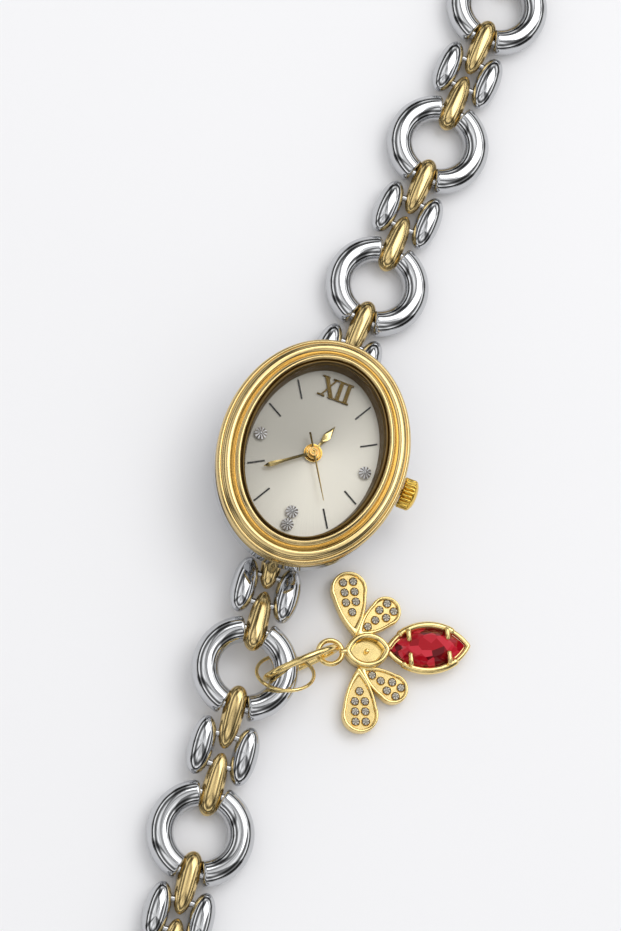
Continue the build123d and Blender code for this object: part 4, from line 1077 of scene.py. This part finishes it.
class WATCH_OT_charm(WatchOperator):
    """Bee charm: wings, thorax, frame for the stone, prongs and loop"""
    bl_idname = "watch.charm"
    bl_label = "Charm body"

    def execute(self, context):
        charm = settings("charm")
        base = charm.base
        top = base + charm.wing_thickness
        floor = top - charm.wing_recess
        rim = charm.wing_rim
        skins = []
        for root, centre, radius, rows in WINGS:
            levels = (
                (0.12 * MM, base), (0.02 * MM, base + 0.12 * MM), (0, base + 0.3 * MM), (0, top - 0.16 * MM),
                (0.03 * MM, top - 0.07 * MM), (0.09 * MM, top - 0.01 * MM), (0.15 * MM, top),
                (rim - 0.06 * MM, top - 0.02 * MM), (rim, top - 0.08 * MM), (rim + 0.05 * MM, floor),
            )
            skins.append(join_rows([wing_row(root, centre, radius, inset, height) for inset, height in levels]))
        skins.extend(self.body(charm, base, top))
        skins.extend(self.setting(charm))
        for root, centre, radius, rows in WINGS:
            for spot in wing_stones(root, centre, radius, rows):
                skins.append(self.collar(spot + UP * floor, charm.stone_radius))
        body = add_piece("bee_charm", merge_skins(skins), "pale_gold_plate", 45)
        body.data.transform(charm_matrix())
        dress(body, "charm", "yellow_gold", "charm_body")
        return {"FINISHED"}

    def collar(self, spot, radius):
        """A thin raised lip round a stone."""
        return lathe((
            (radius * 1.04, 0), (radius * 1.04, 0.12 * MM), (radius * 1.12, 0.15 * MM), (radius * 1.22, 0.08 * MM),
            (radius * 1.24, 0),
        ), spot, UP, 20)

    def body(self, charm, base, top):
        """Loop, neck and the open thorax with its ridged floor and eyelet."""
        loop_z = Vector(JOINT["charm"]["pos_m"]).z
        ring = circle(UP * loop_z, RIGHT, AHEAD, charm.loop_radius, 64)
        skins = [tube(ring, charm.loop_wire, 20, closed=True)]
        neck = [Vector((x * MM, 0, loop_z)) for x in (1.25, 1.5, 1.75)]
        skins.append(tube(neck, charm.loop_wire * 1.3, 20, ends_round=True))
        half_length, half_width, centre = 2.45 * MM, 1.86 * MM, 3.95 * MM
        rise = 2.0 * MM
        rim = 0.6 * MM
        floor = base + charm.wing_thickness * 0.5
        levels = (
            (0.25 * MM, base), (0, base + 0.3 * MM), (0, rise - 0.25 * MM), (0.06 * MM, rise - 0.1 * MM),
            (0.18 * MM, rise - 0.01 * MM), (0.32 * MM, rise), (0.46 * MM, rise - 0.04 * MM), (rim, rise - 0.16 * MM),
            (rim + 0.06 * MM, floor + 0.2 * MM), (rim + 0.12 * MM, floor),
        )
        skins.append(join_rows([
            marquise_row(half_length - 1.1 * inset, half_width - inset, height, centre) for inset, height in levels
        ]))
        skins.append(lathe((
            (0.26 * MM, floor), (0.26 * MM, floor + 0.5 * MM), (0.2 * MM, floor + 0.62 * MM),
            (0.1 * MM, floor + 0.66 * MM),
        ), (centre, 0, 0), UP, 24))
        return skins

    def setting(self, charm):
        """Open frame of wire under the red stone, thicker at both sides, with four claws."""
        centre = charm.red_centre
        length, width = charm.red_half_length, charm.red_half_width
        skins = []
        levels = (
            (0.12, charm.base), (0.22, charm.base + 0.15 * MM), (0.24, 1.0 * MM), (0.12, 1.2 * MM), (-0.42, 1.2 * MM),
            (-0.46, charm.base + 0.1 * MM), (-0.4, charm.base),
        )
        rows = [marquise_row(length + out * MM, width + out * MM, height, centre) for out, height in levels]
        skins.append(join_rows(rows, closed=True))
        wire_z = 1.42 * MM
        outline = marquise_row(length + 0.38 * MM, width + 0.42 * MM, wire_z, centre, 192)
        skins.append(tube(outline, 0.27 * MM, 20, closed=True))
        half = len(outline) // 2
        for start in (0, half):
            arc = outline[start + int(half * 0.22):start + int(half * 0.78) + 1]
            skins.append(tube(arc, 0.42 * MM, 20, ends_round=True))
        for along in (-0.52, 0.52):
            for side in (1, -1):
                skins.append(self.claw(centre, along * length, side, length, width))
        return skins

    def claw(self, centre, x, side, length, width):
        """A prong that rises beside the stone and folds over its edge."""
        radius = (length ** 2 + width ** 2) / (2 * width)
        edge = math.sqrt(radius ** 2 - x ** 2) - radius + width
        wire, top, bend = 0.26 * MM, 2.36 * MM, 0.3 * MM
        post = edge + wire
        path = [Vector((0, post, height)) for height in (0.5 * MM, 1.2 * MM, top - bend)]
        for k in range(1, 6):
            turn = math.pi / 2 * k / 5
            path.append(Vector((0, post - bend * (1 - math.cos(turn)), top - bend + bend * math.sin(turn))))
        path.append(Vector((0, post - 0.65 * MM, top - 0.01 * MM)))
        path.append(Vector((0, post - 1.0 * MM, top - 0.06 * MM)))
        path = [Vector((centre + x, side * p.y, p.z)) for p in path]
        return tube(path, wire, 16, ends_round=True)


class WATCH_OT_charm_stones(WatchOperator):
    """Red marquise stone and the small clear stones in the wings"""
    bl_idname = "watch.charm_stones"
    bl_label = "Charm stones"

    def execute(self, context):
        charm = settings("charm")
        centre = charm.red_centre
        length, width = charm.red_half_length, charm.red_half_width
        # Share of the size and height in millimetres of each row of facet corners, and if it is turned by half a step
        levels = (
            (0.25, 0.6, 0), (0.9, 1.2, 0), (1, 1.3, 0), (1, 1.55, 0), (0.8, 2.02, 1), (0.6, 2.42, 0),
        )
        rows = []
        for share, height, shifted in levels:
            row = marquise_row(length * share, width * share, height * MM, centre, 20)
            if shifted:
                row = [p.lerp(row[(k + 1) % len(row)], 0.5) for k, p in enumerate(row)]
            rows.append(row)
        stone = add_piece("red_marquise_stone", join_rows(rows), "ruby_glass", 0)
        stone.data.transform(charm_matrix())
        dress(stone, "charm", "red_stone", "charm_red_stone")
        self.add_wing_stones(charm)
        return {"FINISHED"}

    def add_wing_stones(self, charm):
        """The small stones and the seats of painted shade under them."""
        height = 0.36 * MM
        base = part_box("charm_wing_stones")[1].z - height
        floor = charm.base + charm.wing_thickness - charm.wing_recess
        spots = [spot for wing in WINGS for spot in wing_stones(*wing)]
        seat_shade, smoky, dark = "bronze_and_painted_shade", "smoky_clear_stone", "painted_reflection_facet"
        tree = stone_tree()
        for name, low, share, tall, facets, finishes, slot, nodes in (
            ("wing_stone_set", base, 0.88, height, 12, (smoky, dark), "clear_stone", ["charm_wing_stones"]),
            # Seats: dark discs of painted shade under the small stones
            ("wing_stone_seats", floor - 0.02 * MM, 1.02, 0.08 * MM, 24, (seat_shade, seat_shade), "yellow_gold", []),
        ):
            pieces = run_tree(name, tree, {
                "Places": points_object(name + "_places", [spot + UP * low for spot in spots]),
                "Radius": charm.stone_radius * share, "Height": tall, "Facets": facets,
                "Finish": bpy.data.materials[finishes[0]], "Dark Finish": bpy.data.materials[finishes[1]],
            }, charm_matrix(), smooth=0)
            dress(pieces, "charm", slot, *nodes)


class WATCH_OT_stage(WatchOperator):
    """Pale floor, soft lights and the camera"""
    bl_idname = "watch.stage"
    bl_label = "Stage"

    def execute(self, context):
        self.add_floor()
        self.add_camera()
        self.add_lights()
        context.scene.view_settings.view_transform = "Standard"
        return {"FINISHED"}

    def add_floor(self):
        size = 900 * MM
        corners = [(-size, -size, 0), (size, -size, 0), (size, size, 0), (-size, size, 0)]
        mesh = bpy.data.meshes.new("floor")
        mesh.from_pydata(corners, [], [(0, 1, 2, 3)])
        floor = put_in_scene("floor", mesh)
        tree, shader = new_finish("pale_floor_cloth", settings("finish").floor, 0.0, 0.9)
        place = add_node(tree, "ShaderNodeTexCoord").outputs["Object"]
        folds = add_node(tree, "ShaderNodeTexNoise", {"Vector": place, "Scale": 14.0, "Detail": 1.0})
        relief = add_node(tree, "ShaderNodeBump", {
            "Height": folds.outputs["Fac"], "Strength": 0.35, "Distance": 6 * MM,
        })
        tree.links.new(relief.outputs["Normal"], shader.inputs["Normal"])
        mesh.materials.append(bpy.data.materials["pale_floor_cloth"])

    def add_camera(self):
        stage = settings("stage")
        data = bpy.data.cameras.new("camera")
        camera = put_in_scene("camera", data)
        azimuth, tilt, roll = stage.camera_azimuth, stage.camera_tilt, stage.camera_roll
        back = Vector((math.sin(tilt) * math.cos(azimuth), math.sin(tilt) * math.sin(azimuth), math.cos(tilt)))
        right = AHEAD.cross(back).normalized()
        up = back.cross(right)
        turned_right = right * math.cos(roll) + up * math.sin(roll)
        turned_up = up * math.cos(roll) - right * math.sin(roll)
        target = Vector((0.61, 0.75, 0)) * MM
        place = Matrix((turned_right, turned_up, back)).transposed().to_4x4()
        camera.matrix_world = Matrix.Translation(target + back * stage.camera_distance) @ place
        # The picture is 931 px high, and a millimetre at the watch is 9.46 px
        picture_height, scale = 931, 9.46
        data.sensor_fit = "VERTICAL"
        data.sensor_height = 36
        data.lens = data.sensor_height * scale * stage.camera_distance / MM / picture_height
        data.clip_start = 0.01
        bpy.context.scene.camera = camera

    def add_lights(self):
        stage = settings("stage")
        data = bpy.data.lights.new("soft_top_light", "AREA")
        data.shape = "RECTANGLE"
        data.size = 0.5
        data.size_y = 0.35
        data.energy = stage.key_power
        light = put_in_scene("soft_top_light", data)
        place = Vector((0.16, 0.3, 0.5))
        light.matrix_world = Matrix.Translation(place) @ place.to_track_quat("Z", "Y").to_matrix().to_4x4()
        self.add_world()

    def add_world(self):
        """Level light for surfaces, and a studio of white panels and dark gaps for what is polished."""
        world = bpy.data.worlds.new("studio")
        bpy.context.scene.world = world
        world.use_nodes = True
        tree = world.node_tree
        tree.nodes.clear()
        way = add_node(tree, "ShaderNodeTexCoord").outputs["Generated"]
        parts = add_node(tree, "ShaderNodeSeparateXYZ", {"Vector": way})
        rise = add_node(tree, "ShaderNodeValToRGB", {"Fac": parts.outputs["Z"]})
        # Brightness of the panels from straight below to straight above
        panels = (
            (0.0, 0.35), (0.12, 0.28), (0.2, 0.02), (0.36, 0.012), (0.41, 0.3), (0.48, 0.85), (0.55, 0.3),
            (0.66, 0.05), (0.76, 0.08), (0.83, 0.4), (0.89, 0.7), (0.94, 0.42), (1.0, 0.42),
        )
        set_stops(rise.color_ramp, [(height, (level,) * 3) for height, level in panels])
        turn = add_node(tree, "ShaderNodeMath", {0: parts.outputs["Y"], 1: parts.outputs["X"]}, operation="ARCTAN2")
        breaks = add_node(tree, "ShaderNodeTexNoise", {
            "W": turn.outputs["Value"], "Scale": 1.6, "Detail": 1.0,
        }, noise_dimensions="1D")
        gaps = add_node(tree, "ShaderNodeMapRange", {
            "Value": breaks.outputs["Fac"], "From Min": 0.4, "From Max": 0.54, "To Min": 0.22, "To Max": 1.2,
        })
        shown = add_node(tree, "ShaderNodeVectorMath", {
            0: rise.outputs["Color"], "Scale": gaps.outputs["Result"],
        }, operation="SCALE")
        studio = add_node(tree, "ShaderNodeBackground", {"Color": shown.outputs["Vector"], "Strength": 2.0})
        level = add_node(tree, "ShaderNodeBackground", {"Color": (1, 1, 1, 1), "Strength": 0.82})
        path = add_node(tree, "ShaderNodeLightPath")
        mixed = add_node(tree, "ShaderNodeMixShader", {
            "Fac": path.outputs["Is Glossy Ray"], 1: level.outputs["Background"], 2: studio.outputs["Background"],
        })
        out = add_node(tree, "ShaderNodeOutputWorld")
        tree.links.new(mixed.outputs["Shader"], out.inputs["Surface"])


class WATCH_PT_panel(bpy.types.Panel):
    """Lists the pieces of the watch"""
    bl_label = "Oval bracelet watch"
    bl_idname = "WATCH_PT_panel"
    bl_space_type = "VIEW_3D"
    bl_region_type = "UI"
    bl_category = "Watch"

    def draw(self, context):
        for operator in PIECES:
            self.layout.operator(operator.bl_idname)


GROUPS = {
    "head": WatchHeadSettings,
    "band": WatchBandSettings,
    "charm": WatchCharmSettings,
    "finish": WatchFinishSettings,
    "stage": WatchStageSettings,
}
PIECES = (
    WATCH_OT_stage, WATCH_OT_case, WATCH_OT_bezel, WATCH_OT_dial, WATCH_OT_hands, WATCH_OT_crystal, WATCH_OT_crown,
    WATCH_OT_band, WATCH_OT_rings, WATCH_OT_clasp, WATCH_OT_jump_rings, WATCH_OT_charm, WATCH_OT_charm_stones,
)


def register():
    for name, group in GROUPS.items():
        bpy.utils.register_class(group)
        setattr(bpy.types.Scene, "watch_" + name, bpy.props.PointerProperty(type=group))
    for piece in PIECES:
        bpy.utils.register_class(piece)
    bpy.utils.register_class(WATCH_PT_panel)


def unregister():
    bpy.utils.unregister_class(WATCH_PT_panel)
    for piece in reversed(PIECES):
        bpy.utils.unregister_class(piece)
    for name, group in GROUPS.items():
        delattr(bpy.types.Scene, "watch_" + name)
        bpy.utils.unregister_class(group)


def main():
    register()
    make_finishes()
    for piece in PIECES:
        area, name = piece.bl_idname.split(".")
        getattr(getattr(bpy.ops, area), name)()


if __name__ == "__main__":
    main()
